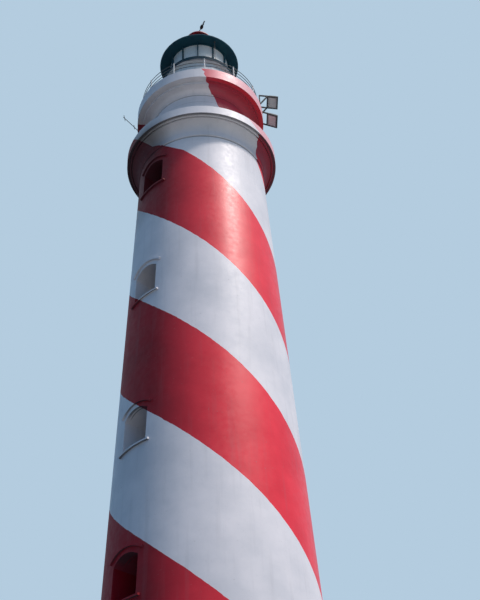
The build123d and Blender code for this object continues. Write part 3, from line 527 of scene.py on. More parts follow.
def painted_iron(name, base, chalked, roughness, chip="5A3A2C", chips=0.5, underside=None, rain_marks=0.3,
                 specular=0.5, metallic=0.0):
    """Brushed enamel over iron, chalked in clouds, chipped in spots, with rain marks."""
    material, tree, place = new_material(name)
    drift = add(tree, "TexNoise", [place, per_metre(COAT_DRIFT), 5.0, 0.6])
    rain = drawn_out(tree, place, MARK_WIDTH, MARK_LENGTH, 3.0)
    spots = add(tree, "TexNoise", [place, per_metre(CHIP_SPOTS), 5.0, 0.7])
    peel = add(tree, "TexNoise", [place, per_metre(PEEL_SKIN), 2.0, 0.5])
    bare = add(tree, "MapRange", [spots, 0.70, 0.73, 0.0, chips])
    layers = [(add(tree, "MapRange", [drift, 0.38, 0.68]), chalked)]
    if underside:
        layers.append((add(tree, "MapRange", [faces_up(tree), -0.6, -0.8]), underside))
    layers.append((add(tree, "MapRange", [rain, 0.55, 0.8, 0.0, rain_marks]), "4C4A47"))
    layers.append((bare, chip))
    sunken = add(tree, "Math", [bare, -1.0], operation="MULTIPLY")
    shade(material, {
        "Base Color": lay_over(tree, linear(base), layers),
        "Roughness": add(tree, "MapRange", [drift, 0.3, 0.7, roughness - 0.06, roughness + 0.14]),
        "Normal": layered_relief(tree, (peel, 0.0006, 0.5), (sunken, 0.0008, 0.6)),
        "Specular IOR Level": specular,
        "Metallic": metallic,
    })
    return material


print("rain marks on iron are", MARK_WIDTH, "mm wide")

# %% [markdown]
# Each coat has its tone, its chalked tone and its gloss. The murette, the green ironwork and the
# catwalk under the glass are dulled by salt, so they reflect less, and the catwalk is pale below and
# dark at its edge. Red enamel is the glossiest paint, and powder coat chips least.

# %% The iron paints and metals of the tower
white_iron = painted_iron("white_enamelled_iron", "D5D9DC", "BFC3C4", 0.55)
grey_iron = painted_iron("grey_painted_iron_plate", "D3DCDF", "C0CACE", 0.70, specular=0.3)
# The rails are a dark grey, darker than the white posts.
rail_iron = painted_iron("dark_grey_rail_enamel", "3E4850", "333C44", 0.50)
green_iron = painted_iron("dark_green_enamelled_iron", "0C3A4B", "164A58", 0.74, specular=0.25)
catwalk_iron = painted_iron("green_edged_catwalk_iron", "062A3A", "0A3140", 0.80, underside="B9C6CC",
                            rain_marks=0.05, specular=0.12)
red_iron = painted_iron("red_enamelled_iron", "B01A30", "8E2433", 0.42)
dark_iron = painted_iron("blackened_wrought_iron", "23262B", "33302E", 0.52)
lamp_grey = painted_iron("grey_powder_coated_steel", "8E979C", "7C858A", 0.55, chips=0.15)
zinc = painted_iron("dull_galvanised_steel", "8B9093", "75797C", 0.45, chip="6B6A66", chips=0.3, metallic=1.0)
brass = painted_iron("weathered_brass_fitting", "7A6335", "5C4E30", 0.40, chip="8E7A45", chips=0.4,
                     metallic=1.0)
print("iron paints:", white_iron.name, green_iron.name, red_iron.name)

# %% [markdown]
# The lantern's panes are drawn sheet glass, faintly wavy. Sea spray dries on them as a pale haze, and on the
# sunny side a white glare of the sun is painted into their colour. A fully clear pane would show only the
# background, so the salt is part of the colour, and the shader lets through just some of the light.

# %% Glass
# Sizes of the patterns in millimetres
GLASS_WAVES = 200
SALT_SPOTS = 33.33
# Clean window glass has 1.52, and a salted pane reflects a little less
SALTED_GLASS_IOR = 1.45
# Distance towards the sun, from the axis, at which the painted glare starts and at which it is full
GLARE_FROM_TO = (0.22, 0.46)


def clear_glass(name, tint, roughness, transmission, sun_glare=0.0):
    """Sheet glass, faintly wavy, with a haze of dried salt and a painted white glare on the sunny side."""
    material, tree, place = new_material(name)
    waves = add(tree, "TexNoise", [place, per_metre(GLASS_WAVES), 1.0, 0.5])
    salt = add(tree, "TexNoise", [place, per_metre(SALT_SPOTS), 4.0, 0.5])
    haze = add(tree, "MapRange", [salt, 0.40, 0.75, 0.0, 0.28])
    sunny_way = (sin(SUNNY_SIDE), -cos(SUNNY_SIDE), 0)
    towards_sun = add(tree, "VectorMath", [place, sunny_way], operation="DOT_PRODUCT")
    # Painted highlight: the panes turn white towards the key light.
    painted_glare = add(tree, "MapRange", [towards_sun, *GLARE_FROM_TO, 0.0, sun_glare])
    shade(material, {
        "Base Color": lay_over(tree, linear(tint), [(haze, "93A4AC"), (painted_glare, "F6F8F6")]),
        "Roughness": add(tree, "MapRange", [salt, 0.4, 0.8, roughness, roughness + 0.16]),
        "Normal": layered_relief(tree, (waves, 0.004, 0.08)),
        "Transmission Weight": transmission,
        "IOR": SALTED_GLASS_IOR,
    })
    return material


lantern_glass = clear_glass("salt_hazed_lantern_glass", "E4ECEC", 0.30, 0.20, sun_glare=0.80)
window_glass = clear_glass("dark_window_sheet_glass", "39444A", 0.10, 0.45)
lamp_glass = clear_glass("ribbed_floodlight_glass", "D5DCE0", 0.30, 0.10)
print("glasses:", lantern_glass.name, window_glass.name, lamp_glass.name)

# %% [markdown]
# The entrance door and the window frames are painted hardwood. The grain swells and shows through the
# paint, and the paint lifts in long flakes along it. A ready-made wood pattern has rings that are too
# even for this, so both are noise drawn out along the height.

# %% Timber
# Sizes of the patterns in millimetres; the grain is drawn coarser than it is, so that it shows
GRAIN_WIDTH = 11.905
GRAIN_LENGTH = 138.9
FLAKE_WIDTH = 4.464
FLAKE_LENGTH = 52.08


def old_timber(name, base, dark):
    """Painted hardwood with the grain showing through and the paint lifting along it."""
    material, tree, place = new_material(name)
    grain = drawn_out(tree, place, GRAIN_WIDTH, GRAIN_LENGTH, 6.0)
    flakes = drawn_out(tree, place, FLAKE_WIDTH, FLAKE_LENGTH, 4.0)
    swollen = add(tree, "MapRange", [grain, 0.35, 0.7])
    lifted = add(tree, "MapRange", [flakes, 0.66, 0.72, 0.0, 0.6])
    shade(material, {
        "Base Color": lay_over(tree, linear(base), [(swollen, dark), (lifted, "7A6A5C")]),
        "Roughness": add(tree, "MapRange", [grain, 0.3, 0.7, 0.5, 0.75]),
        "Normal": layered_relief(tree, (grain, 0.002, 0.5)),
    })
    return material


window_timber = old_timber("dark_painted_window_timber", "2B1F20", "1A1314")
door_timber = old_timber("red_brown_door_timber", "5A241D", "3A1814")
print("timbers:", window_timber.name, door_timber.name)

# %% [markdown]
# The construction model brings its own pieces, from the plinth to the vane. They keep their shapes
# and only get a better finish. Pieces with a common start to their names share one, so that the
# bands run on without a break from lift to lift.

# %% Dress the construction nodes
FINISH_OF_NODES = (
    (banded_paint, "plinth shaft_lift shaft_astragal lower_cornice watch_room_wall upper_cornice"),
    (banded_paint, "gallery_deck window_sills window_hoods"),
    (threshold_stone, "door_threshold ground_floor"),
    (window_timber, "window_frames"),
    (window_glass, "window_panes"),
    (door_timber, "door_leaf door_frame"),
    (white_iron, "gallery_posts"),
    (rail_iron, "gallery_rails"),
    (grey_iron, "gallery_door lantern_murette"),
    (catwalk_iron, "lantern_sill_ring"),
    (green_iron, "lantern_glazing_bars lantern_eave lantern_dome dome_ribs"),
    (lantern_glass, "lantern_glass"),
    (red_iron, "ventilator"),
    (dark_iron, "wind_vane floodlight_bracket aerial_rod"),
    (lamp_glass, "floodlight_glasses"),
    (lamp_grey, "upper_floodlight lower_floodlight"),
)
for name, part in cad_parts.items():
    finish = next(f for f, starts in FINISH_OF_NODES if name.startswith(tuple(starts.split())))
    part.data.materials.clear()
    part.data.materials.append(finish)
print("dressed nodes:", len(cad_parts))

# %% [markdown]
# The small hardware is drawn straight into meshes. Primitives and modifiers could make it too, but
# hundreds of bolts are quicker and lighter as a few shapes in one mesh. Each lands on the tower
# through a matrix that stands at an azimuth, a distance from the axis and a height, with its X axis
# along the wall, its Y axis up and its Z axis outwards.

# %% Helpers for places on the tower
def heading(azimuth):
    """Flat unit direction of an azimuth counted from -Y towards +X."""
    return Vector((sin(radians(azimuth)), -cos(radians(azimuth)), 0))


def shifted(x, y, z):
    """A step along a place's own axes."""
    return Matrix.Translation((x, y, z))


def tilted(degrees, axis):
    """A turn about one of a place's own axes."""
    return Matrix.Rotation(radians(degrees), 4, axis)


def upright_axes(x_axis, y_axis, z_axis):
    """Matrix of three unit directions."""
    return Matrix((x_axis, y_axis, z_axis)).transposed().to_4x4()


def wall_place(azimuth, distance, height):
    """Matrix of a spot on the tower: X along the wall, Y up, Z outwards."""
    out = heading(azimuth)
    axes = upright_axes(Vector((-out.y, out.x, 0)), Vector((0, 0, 1)), out)
    return Matrix.Translation(out * distance + Vector((0, 0, height))) @ axes


def deck_place(azimuth, distance, height):
    """Matrix of a spot on a level surface: X along the edge, Y outwards, Z up."""
    return wall_place(azimuth, distance, height) @ tilted(-90, "X")


def round_the_tower(count, first=0):
    """Azimuths of a number of like things spread evenly round the tower."""
    return [first + 360 / count * index for index in range(count)]


print("a spot on the right of the wall:", [round(v, 2) for v in wall_place(90, 1.5, 2.0).translation])

# %% [markdown]
# Two shapes are enough for nearly all of it: a flat outline given thickness, as a smith cuts plate,
# and a profile turned about an axis, as on a lathe. A turned profile may be left open at its ends
# where it sits in something.

# %% Helpers for slabs and turned profiles
def slab(shape, place, outline, low, high):
    """Flat outline in the place's XY plane, given thickness along its Z axis."""
    bottom = [shape.verts.new(place @ Vector((x, y, low))) for x, y in outline]
    lid = [shape.verts.new(place @ Vector((x, y, high))) for x, y in outline]
    shape.faces.new(bottom)
    shape.faces.new(lid)
    for i in range(len(outline)):
        j = (i + 1) % len(outline)
        shape.faces.new((bottom[i], bottom[j], lid[j], lid[i]))


def block(shape, place, width, height, low, high, middle=(0.0, 0.0)):
    """Rectangular slab round a middle point."""
    x, y = middle
    corners = [(-1, -1), (1, -1), (1, 1), (-1, 1)]
    slab(shape, place, [(x + sx * width / 2, y + sy * height / 2) for sx, sy in corners], low, high)


def turned(shape, place, profile, sides=16, closed=True):
    """Profile of radius and height pairs turned about the place's Z axis, its ends closed or open."""
    rings = []
    for radius, height in profile:
        turns = [2 * pi * i / sides for i in range(sides)] if radius else [0]
        rings.append(
            [shape.verts.new(place @ Vector((radius * cos(t), radius * sin(t), height))) for t in turns]
        )
    for lower, upper in zip(rings, rings[1:]):
        for i in range(sides):
            start, end = [(ring[i % len(ring)], ring[(i + 1) % len(ring)]) for ring in (lower, upper)]
            shape.faces.new(list(dict.fromkeys(start + end[::-1])))
    for ring in (rings[0], rings[-1]):
        if closed and len(ring) > 1:
            shape.faces.new(ring)


trial = bmesh.new()
block(trial, Matrix.Identity(4), 1.0, 1.0, 0.0, 1.0)
print("one block has", len(trial.faces), "faces")
trial.free()

# %% [markdown]
# Rods, bolts and rivets come from the turned profile. A rod is one that points from its start to its
# end. A nut has six sides, and a rivet is a low dome.

# %% Helpers for rods, bolts and rivets
def rod(shape, start, end, radius, sides=12):
    """Round rod between two points."""
    way = Vector(end) - Vector(start)
    place = Matrix.Translation(Vector(start)) @ way.to_track_quat("Z", "Y").to_matrix().to_4x4()
    turned(shape, place, [(radius, 0), (radius, way.length)], sides)


def bolt(shape, place, size, middle=(0.0, 0.0)):
    """Hexagonal nut on a washer with the rounded end of its bolt standing out."""
    spot = place @ shifted(*middle, 0)
    turned(shape, spot, [(size * 1.1, 0), (size * 1.1, size * 0.16)], 16)
    turned(shape, spot, [(size * 0.9, size * 0.16), (size * 0.9, size * 0.85)], 6)
    turned(shape, spot, [(size * 0.5, size * 0.85), (size * 0.5, size * 1.2), (size * 0.3, size * 1.35)], 10)


def rivet(shape, place, size, middle=(0.0, 0.0)):
    """Low domed rivet head."""
    head = [(size, 0), (size * 0.85, size * 0.35), (size * 0.5, size * 0.58), (0, size * 0.66)]
    turned(shape, place @ shifted(*middle, 0), head, 10)


trial = bmesh.new()
bolt(trial, Matrix.Identity(4), 0.006)
print("one bolt has", len(trial.faces), "faces")
trial.free()

# %% [markdown]
# A finished piece needs its faces turned outwards, shading that is soft on curves and crisp at edges, and a
# small bevel where a plate's edge would catch the light. It rides on the body that carries it, and takes the
# material that it is given.

# %% A helper that finishes a piece
SHARP_FROM = 35


def place_piece(name, shape, material, body="tower", bevel=0.0):
    """Turn a mesh into a finished piece: outward normals, soft shading, eased edges, its body and material.
    """
    bmesh.ops.recalc_face_normals(shape, faces=shape.faces)
    data = bpy.data.meshes.new(name)
    shape.to_mesh(data)
    shape.free()
    for face in data.polygons:
        face.use_smooth = True
    data.set_sharp_from_angle(angle=radians(SHARP_FROM))
    piece = bpy.data.objects.new(name, data)
    bpy.context.scene.collection.objects.link(piece)
    piece.data.materials.append(material)
    if bevel:
        eased = piece.modifiers.new("eased_edges", "BEVEL")
        eased.width = bevel
        eased.segments = 2
        eased.limit_method = "ANGLE"
    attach(piece, body)
    print(name, "has", len(data.polygons), "faces")


print("edges of more than", SHARP_FROM, "degrees stay crisp")

# %% [markdown]
# The door at the foot is out of the picture, so it gets what such a door has. The leaf is clad with
# upright planks, with a joint between each pair. They could be grooves in a bump, but separate slabs
# catch the light at their eased edges. The arched head of each plank follows one circle.

# %% The planks of the entrance door
WINDOW_COLUMN = -48.8
LEAF_FACE = 1.416
LEAF_WIDTH = 0.510
LEAF_FOOT = 0.075
LEAF_SPRING = 0.9012
LEAF_CROWN = 1.050
PLANKS = 5
PLANK_JOINT = 0.006
PLANK_THICKNESS = 0.009
PLANK_MARGIN = 0.004
ARC_STEPS = 6

leaf_rise = LEAF_CROWN - LEAF_SPRING
leaf_arc = ((LEAF_WIDTH / 2) ** 2 + leaf_rise**2) / (2 * leaf_rise)


def leaf_top(x):
    """Height of the arched top of the leaf above the threshold."""
    return LEAF_CROWN - leaf_arc + sqrt(leaf_arc**2 - x**2)


leaf_place = wall_place(WINDOW_COLUMN, LEAF_FACE, LEAF_FOOT)
planks = bmesh.new()
plank_width = LEAF_WIDTH / PLANKS
for index in range(PLANKS):
    left = -LEAF_WIDTH / 2 + index * plank_width + PLANK_JOINT / 2
    right_side = left + plank_width - PLANK_JOINT
    steps = [left + (right_side - left) * i / ARC_STEPS for i in range(ARC_STEPS + 1)]
    head = [(x, leaf_top(x) - PLANK_MARGIN) for x in reversed(steps)]
    foot = [(left, PLANK_MARGIN), (right_side, PLANK_MARGIN)]
    slab(planks, leaf_place, foot + head, 0, PLANK_THICKNESS)
place_piece("door_planks", planks, door_timber, bevel=0.0015)

# %% [markdown]
# Two long strap hinges hold the planks together. A smith draws the strap out to a spear-shaped tip,
# so it is one outline given thickness. Five rivets fix it, and its eye turns on an upright pin.

# %% The strap hinges
HINGE_HEIGHTS = (0.20, 0.74)
STRAP_LENGTH = 0.42
STRAP_THICKNESS = 0.004
STRAP_RIVETS = (0.06, 0.26, 0.48, 0.70, 0.84)
PIN_RADIUS = 0.008
PIN_LENGTH = 0.052

straps = bmesh.new()
root = -LEAF_WIDTH / 2 + PLANK_MARGIN
tip = root + STRAP_LENGTH
strap_face = leaf_place @ shifted(0, 0, PLANK_THICKNESS + STRAP_THICKNESS)
for height in HINGE_HEIGHTS:
    half = [(root, 0.020), (tip - 0.05, 0.012), (tip - 0.032, 0.020)]
    outline = [(x, height - y) for x, y in half] + [(tip, height)]
    outline += [(x, height + y) for x, y in reversed(half)]
    slab(straps, strap_face, outline, -STRAP_THICKNESS, 0)
    for share in STRAP_RIVETS:
        rivet(straps, strap_face, 0.007, (root + STRAP_LENGTH * share, height))
    pin = strap_face @ shifted(root, height - PIN_LENGTH / 2, 0) @ tilted(-90, "X")
    turned(straps, pin, [(PIN_RADIUS, 0), (PIN_RADIUS, PIN_LENGTH)], 12)
place_piece("door_strap_hinges", straps, dark_iron, bevel=0.0008)

# %% [markdown]
# A brass ring hangs from a turned rose to pull the door by, and a small plate guards the keyhole
# below. The ring is a chain of short rods, which is simple and closes on itself.

# %% The ring pull and the key plate
RING_RADIUS = 0.030
RING_WIRE = 0.004
RING_STEPS = 24
RING_OUT = 0.012

ring_pull = bmesh.new()
pull_place = leaf_place @ shifted(0.178, 0.50, PLANK_THICKNESS)
turned(ring_pull, pull_place, [(0.026, 0), (0.026, 0.003), (0.012, 0.006), (0.010, 0.016), (0, 0.018)], 24)
ring_place = pull_place @ shifted(0, -RING_RADIUS - 0.002, RING_OUT)
turns = [2 * pi * i / RING_STEPS for i in range(RING_STEPS)]
ring_points = [ring_place @ Vector((RING_RADIUS * sin(t), RING_RADIUS * cos(t), 0)) for t in turns]
for start, end in zip(ring_points, ring_points[1:] + ring_points[:1]):
    rod(ring_pull, start, end, RING_WIRE, 10)
block(ring_pull, pull_place, 0.034, 0.070, 0, 0.003, (0.0, -0.125))
turned(ring_pull, pull_place @ shifted(0, -0.118, 0), [(0.006, 0.003), (0.004, 0.0045)], 12)
place_piece("door_ring_pull_and_key_plate", ring_pull, brass)

# %% [markdown]
# Under the lower cornice a round bead runs between the groove and the cove. The painted shade on the flat
# soffit round it leaves the bead light. A plasterer runs it with a template, and a turned profile does the
# same. Its open ends lie just inside the plaster.

# %% The soffit bead
SOFFIT = 15.897
inner, outer = SOFFIT_BEAD

soffit_bead = bmesh.new()
turned(soffit_bead, shifted(0, 0, SOFFIT),
       [(inner, 0.0005), (inner + 0.0015, -0.008), (inner + 0.0065, -0.0145), (inner + 0.016, -0.017),
        (outer - 0.0065, -0.0145), (outer - 0.0015, -0.008), (outer, 0.0005)], 160, closed=False)
place_piece("cornice_soffit_bead", soffit_bead, banded_paint)

# %% [markdown]
# Deep in each reveal stands a small fixed window. Two more thin bars across each half divide its
# panes, as glaziers did when sheets of glass were small. No moulding would show on a bar 10 mm wide,
# so each is a block with eased edges.

# %% The thin window bars
WINDOW_SILLS = [3.88, 6.57, 8.96, 11.89, 14.57]
BAR_PLANE = 0.834
BAR_HEIGHTS = (0.190, 0.485)
HALF_MIDDLES = (-0.1225, 0.1225)
HALF_WIDTH = 0.227
BAR_WIDTH = 0.010
BAR_DEPTH = 0.016

thin_bars = bmesh.new()
for azimuth in round_the_tower(2, WINDOW_COLUMN):
    for sill in WINDOW_SILLS:
        place = wall_place(azimuth, BAR_PLANE, sill)
        for height in BAR_HEIGHTS:
            for side in HALF_MIDDLES:
                block(thin_bars, place, HALF_WIDTH, BAR_WIDTH, 0, BAR_DEPTH, (side, height))
place_piece("window_thin_glazing_bars", thin_bars, window_timber, bevel=0.001)

# %% [markdown]
# The gallery railing is screwed together from rods and posts. Where each rail passes a post it has a
# round collar with a nut ring on either side, and each post's foot plate is held by four bolts. An
# array modifier could repeat them, but a loop over the azimuths keeps each collar on its own post.

# %% Railing collars and foot bolts
DECK_TOP = 17.472
RAILING_RADIUS = 1.197
POST_HEIGHT = 0.410
RAILS = 4
# The top rail rests on the posts, so only the three below it pass through collars
COLLAR_HEIGHTS = [DECK_TOP - 0.008 + POST_HEIGHT * (step + 1) / RAILS for step in range(RAILS - 1)]
POST_AZIMUTHS = round_the_tower(12, 5)
FOOT_PLATE_TOP = DECK_TOP + 0.010
FOOT_BOLTS = ((0.0185, 0), (-0.0185, 0), (0, 0.0185), (0, -0.0185))

collars = bmesh.new()
feet = bmesh.new()
for azimuth in POST_AZIMUTHS:
    for height in COLLAR_HEIGHTS:
        sideways = wall_place(azimuth, RAILING_RADIUS, height) @ tilted(90, "Y")
        for low, high in ((-0.019, -0.011), (0.011, 0.019)):
            turned(collars, sideways, [(0.0105, low), (0.0105, high)], 14)
        turned(collars, deck_place(azimuth, RAILING_RADIUS, height - 0.016),
               [(0.0122, 0), (0.0165, 0.006), (0.0165, 0.026), (0.0122, 0.032)], 18)
    for spot in FOOT_BOLTS:
        bolt(feet, deck_place(azimuth, RAILING_RADIUS, FOOT_PLATE_TOP), 0.0042, spot)
place_piece("railing_collars", collars, white_iron)
place_piece("railing_foot_bolts", feet, zinc)

# %% [markdown]
# The murette, the iron wall below the glass, is riveted up from curved plates. Upright strips cover
# the joints, and two rows of rivets hold each strip. A bump could suggest the rivets, but real heads
# also show along the outline and in the exported mesh.

# %% Murette strips and rivets
MURETTE_RADIUS = 0.687
MURETTE_TOP = 18.500
STRIP_FACE = 0.005
RIVET_ROWS = 12
RIVET_PITCH = 0.080

strips = bmesh.new()
strip_heads = bmesh.new()
murette_height = MURETTE_TOP - DECK_TOP
for azimuth in round_the_tower(8, 22.5):
    place = wall_place(azimuth, MURETTE_RADIUS - 0.0006, DECK_TOP)
    block(strips, place, 0.050, murette_height - 0.012, -0.004, STRIP_FACE, (0, murette_height / 2))
    for row in range(RIVET_ROWS):
        for side in (-0.015, 0.015):
            rivet(strip_heads, place @ shifted(0, 0, STRIP_FACE), 0.0045, (side, 0.06 + row * RIVET_PITCH))
place_piece("murette_joint_strips", strips, grey_iron, bevel=0.0008)
place_piece("murette_rivets", strip_heads, grey_iron)

# %% [markdown]
# A ring of angle iron bolts the murette to the deck. Its section is an L, so it is one turned profile,
# left open where it meets the plate, with a ring of bolts on its flat leg.

# %% The murette's base ring
base_ring = bmesh.new()
turned(base_ring, shifted(0, 0, DECK_TOP),
       [(MURETTE_RADIUS + 0.0005, 0), (MURETTE_RADIUS + 0.045, 0), (MURETTE_RADIUS + 0.045, 0.006),
        (MURETTE_RADIUS + 0.007, 0.007), (MURETTE_RADIUS + 0.006, 0.050), (MURETTE_RADIUS + 0.0005, 0.050)],
       96, closed=False)
for azimuth in round_the_tower(24, 7.5):
    bolt(base_ring, deck_place(azimuth, MURETTE_RADIUS + 0.026, DECK_TOP + 0.006), 0.006)
place_piece("murette_base_ring", base_ring, grey_iron)

# %% [markdown]
# The door at the back of the murette hangs on two hinges and closes with a lever. Blocks, pins and a
# rod make them in one mesh. The door stays shut in this model, so its fittings ride on the tower.

# %% The gallery door's fittings
GALLERY_DOOR = 180
DOOR_PLATE = 0.677
GALLERY_HINGES = (0.16, 0.70)
LEVER_HEIGHT = 0.43

fittings = bmesh.new()
door_place = wall_place(GALLERY_DOOR, DOOR_PLATE, DECK_TOP + 0.060)
for height in GALLERY_HINGES:
    block(fittings, door_place, 0.085, 0.032, -0.028, 0.002, (-0.146, height))
    knuckle = door_place @ shifted(-0.186, height - 0.030, -0.018) @ tilted(-90, "X")
    turned(fittings, knuckle, [(0.009, 0), (0.009, 0.060)], 14)
turned(fittings, door_place @ shifted(0.140, LEVER_HEIGHT, -0.016),
       [(0.020, 0), (0.020, 0.006), (0.009, 0.008), (0.009, 0.030), (0, 0.031)], 20)
lever = [door_place @ Vector((x, LEVER_HEIGHT, z)) for x, z in ((0.140, 0.008), (0.060, 0.010))]
rod(fittings, *lever, 0.006, 12)
place_piece("gallery_door_fittings", fittings, dark_iron, bevel=0.0008)

# %% [markdown]
# Each glazing bar is screwed through a cover strip to the frame behind the glass, with a row of
# brass heads down its face. A narrow bead holds the foot and the head of each pane. Beads could be
# cut to the width of each pane, but they meet behind the bars, so two turned profiles do for all.

# %% Lantern screws and beads
GLASS_RADIUS = 0.619
GLASS_FOOT = 18.602
GLASS_HEAD = 19.214
BEAD_HEIGHT = 0.026
SCREWS_PER_BAR = 7

screws = bmesh.new()
for azimuth in round_the_tower(12, -2):
    for row in range(SCREWS_PER_BAR):
        rivet(screws, wall_place(azimuth, GLASS_RADIUS + 0.038, GLASS_FOOT), 0.0055, (0, 0.05 + row * 0.085))
place_piece("glazing_bar_screws", screws, brass)

beads = bmesh.new()
for foot in (GLASS_FOOT, GLASS_HEAD - BEAD_HEIGHT):
    turned(beads, shifted(0, 0, foot),
           [(GLASS_RADIUS + 0.0005, 0), (GLASS_RADIUS + 0.020, 0), (GLASS_RADIUS + 0.020, 0.018),
            (GLASS_RADIUS + 0.010, BEAD_HEIGHT), (GLASS_RADIUS + 0.0005, BEAD_HEIGHT)], 96, closed=False)
place_piece("lantern_pane_beads", beads, green_iron)

# %% [markdown]
# A keeper who cleans the panes from the catwalk holds on to an upright rail. A curve with a round
# bevel would do for the stem, but one turned profile makes its two flanges as well.

# %% The lantern's grab rail
GRAB_RAIL_AZIMUTH = 27
GRAB_RAIL_RADIUS = 0.745
FLANGE = 0.022
STEM = 0.006

grab = bmesh.new()
grab_foot = deck_place(GRAB_RAIL_AZIMUTH, GRAB_RAIL_RADIUS, GLASS_FOOT)
turned(grab, grab_foot, [(FLANGE, 0), (FLANGE, 0.006), (0.010, 0.010), (STEM, 0.016), (STEM, 0.596),
                         (0.010, 0.602), (FLANGE, 0.606), (FLANGE, 0.612)], 20)
for x in (-0.016, 0.016):
    bolt(grab, grab_foot @ shifted(0, 0, 0.006), 0.0035, (x, 0))
place_piece("lantern_grab_rail", grab, dark_iron)

# %% [markdown]
# The roof is green enamelled sheet with standing ribs, and a round gutter runs along its edge. Short
# straps tie the gutter to the roof. Each follows the gutter's section, so it is an outline in the
# upright plane through the axis, given the width of the strap.

# %% The gutter straps
DOME_FOOT = 19.248
STRAP_SECTION = [(0.768, 0.001), (0.796, 0.001), (0.812, 0.0165), (0.822, 0.0185), (0.833, 0.0165),
                 (0.842, 0.010)]
STRAP_SHEET = 0.004
STRAP_HALF_WIDTH = 0.011

gutter_straps = bmesh.new()
lower_edge = [(r, DOME_FOOT + z) for r, z in STRAP_SECTION]
upper_edge = [(r, z + STRAP_SHEET) for r, z in reversed(lower_edge)]
for azimuth in round_the_tower(24, 5.5):
    edge = wall_place(azimuth, 0, 0) @ tilted(-90, "Y")
    slab(gutter_straps, edge, lower_edge + upper_edge, -STRAP_HALF_WIDTH, STRAP_HALF_WIDTH)
place_piece("gutter_straps", gutter_straps, green_iron)

# %% [markdown]
# On top stands the ventilator, which lets the lamp's heat out and keeps the rain from coming in. A
# wide skirt shades its head, louvres stand round its neck, and bolts hold its collar to the roof. The
# skirt is turned, and the louvres are tilted blades set on the neck, so no slots have to be cut.

# %% The ventilator's skirt, louvres and bolts
NECK_RADIUS = 0.092
COWL_PROFILE = [(0.1805, 20.232), (0.282, 20.150), (0.288, 20.154), (0.288, 20.176), (0.268, 20.200),
                (0.226, 20.236), (0.1805, 20.262)]
LOUVRE_FOOT = 19.94
LOUVRE_ROWS = 6
LOUVRE_PITCH = 0.03

cowl = bmesh.new()
turned(cowl, Matrix.Identity(4), COWL_PROFILE, 72, closed=False)
place_piece("ventilator_cowl_skirt", cowl, red_iron, bevel=0.0015)

louvres = bmesh.new()
for azimuth in round_the_tower(10):
    for row in range(LOUVRE_ROWS):
        place = wall_place(azimuth, NECK_RADIUS, LOUVRE_FOOT + LOUVRE_PITCH * row)
        block(louvres, place @ tilted(-35, "X"), 0.040, 0.024, -0.004, 0.002)
place_piece("vent_louvres", louvres, red_iron, bevel=0.0006)

collar_bolts = bmesh.new()
for azimuth in round_the_tower(12, 15):
    bolt(collar_bolts, deck_place(azimuth, 0.116, 19.856), 0.007)
place_piece("vent_collar_bolts", collar_bolts, red_iron)

# %% [markdown]
# Two floodlights hang on a bracket at the right and light the wall at night. They are bolted in
# their frames, and thin cooling fins stand on their backs. The bracket's mast is bolted to the deck.
# Each lamp droops by its own angle, so the fins and bolts are set out on axes that droop with it.

# %% Floodlight fins and bolts
# Distance from the axis, height over the deck and droop in degrees of each lamp
LAMPS = ((1.516, 0.517, 10), (1.476, -0.070, 25))
LAMP_SIDE = heading(90)
FINS = 9
FIN_PITCH = 0.014
MAST_RADIUS = 1.240

fins = bmesh.new()
lamp_bolts = bmesh.new()
for radius, height, droop in LAMPS:
    arm = LAMP_SIDE * cos(radians(droop)) - Vector((0, 0, sin(radians(droop))))
    along = Vector((0, 1, 0))
    back = arm.cross(along)
    centre = LAMP_SIDE * radius + Vector((0, 0, DECK_TOP + height))
    place = Matrix.Translation(centre) @ upright_axes(arm, along, back)
    for index in range(FINS):
        block(fins, place, 0.003, 0.200, 0.074, 0.090, (FIN_PITCH * (index - (FINS - 1) / 2), 0))
    for x in (-0.106, 0.106):
        for y in (-0.150, 0.150):
            bolt(lamp_bolts, place @ shifted(0, 0, 0.012), 0.007, (x, y))
for side in (-0.150, 0.150):
    spot = LAMP_SIDE * MAST_RADIUS + Vector((0, side, FOOT_PLATE_TOP))
    for x in (-0.0185, 0.0185):
        for y in (-0.0185, 0.0185):
            bolt(lamp_bolts, Matrix.Translation(spot), 0.004, (x, y))
place_piece("floodlight_cooling_fins", fins, lamp_grey)
place_piece("floodlight_bolts", lamp_bolts, zinc)

# %% [markdown]
# The vane turns on the spindle. Rivets hold its plates to the arm, a band strengthens its hub, and
# four feathers round the tail give the wind something to push, like those of an arrow. Two flat
# outlines crossed on the arm's own axis make the feathers. All of these ride on the vane's own body,
# so they turn with it.

# %% Vane rivets, hub band and feathers
VANE_HEIGHT = 20.5205
VANE_AZIMUTH = 26
RIVET_DISTANCES = (0.125, 0.165, 0.205, 0.245, -0.270, -0.300)
FEATHER_HALF = [(0.112, 0.010), (0.138, 0.040), (0.200, 0.040), (0.224, 0.026), (0.214, 0.010)]
FEATHER_HALF_SHEET = 0.0018

arm_way = heading(VANE_AZIMUTH)
up_way = Vector((0, 0, 1))
vane_place = Matrix.Translation((0, 0, VANE_HEIGHT)) @ upright_axes(arm_way, up_way, arm_way.cross(up_way))
vane_bits = bmesh.new()
for distance in RIVET_DISTANCES:
    for side in (0, 180):
        flip = vane_place @ shifted(distance, 0, 0) @ tilted(side, "Y")
        for lift in (-0.0125, 0.0125):
            rivet(vane_bits, flip @ shifted(0, lift, 0.003), 0.003)
turned(vane_bits, shifted(0, 0, VANE_HEIGHT - 0.034),
       [(0.0272, 0), (0.0305, 0.004), (0.0305, 0.010), (0.0272, 0.014)], 28)
place_piece("vane_rivets_and_hub_band", vane_bits, dark_iron, body="vane")

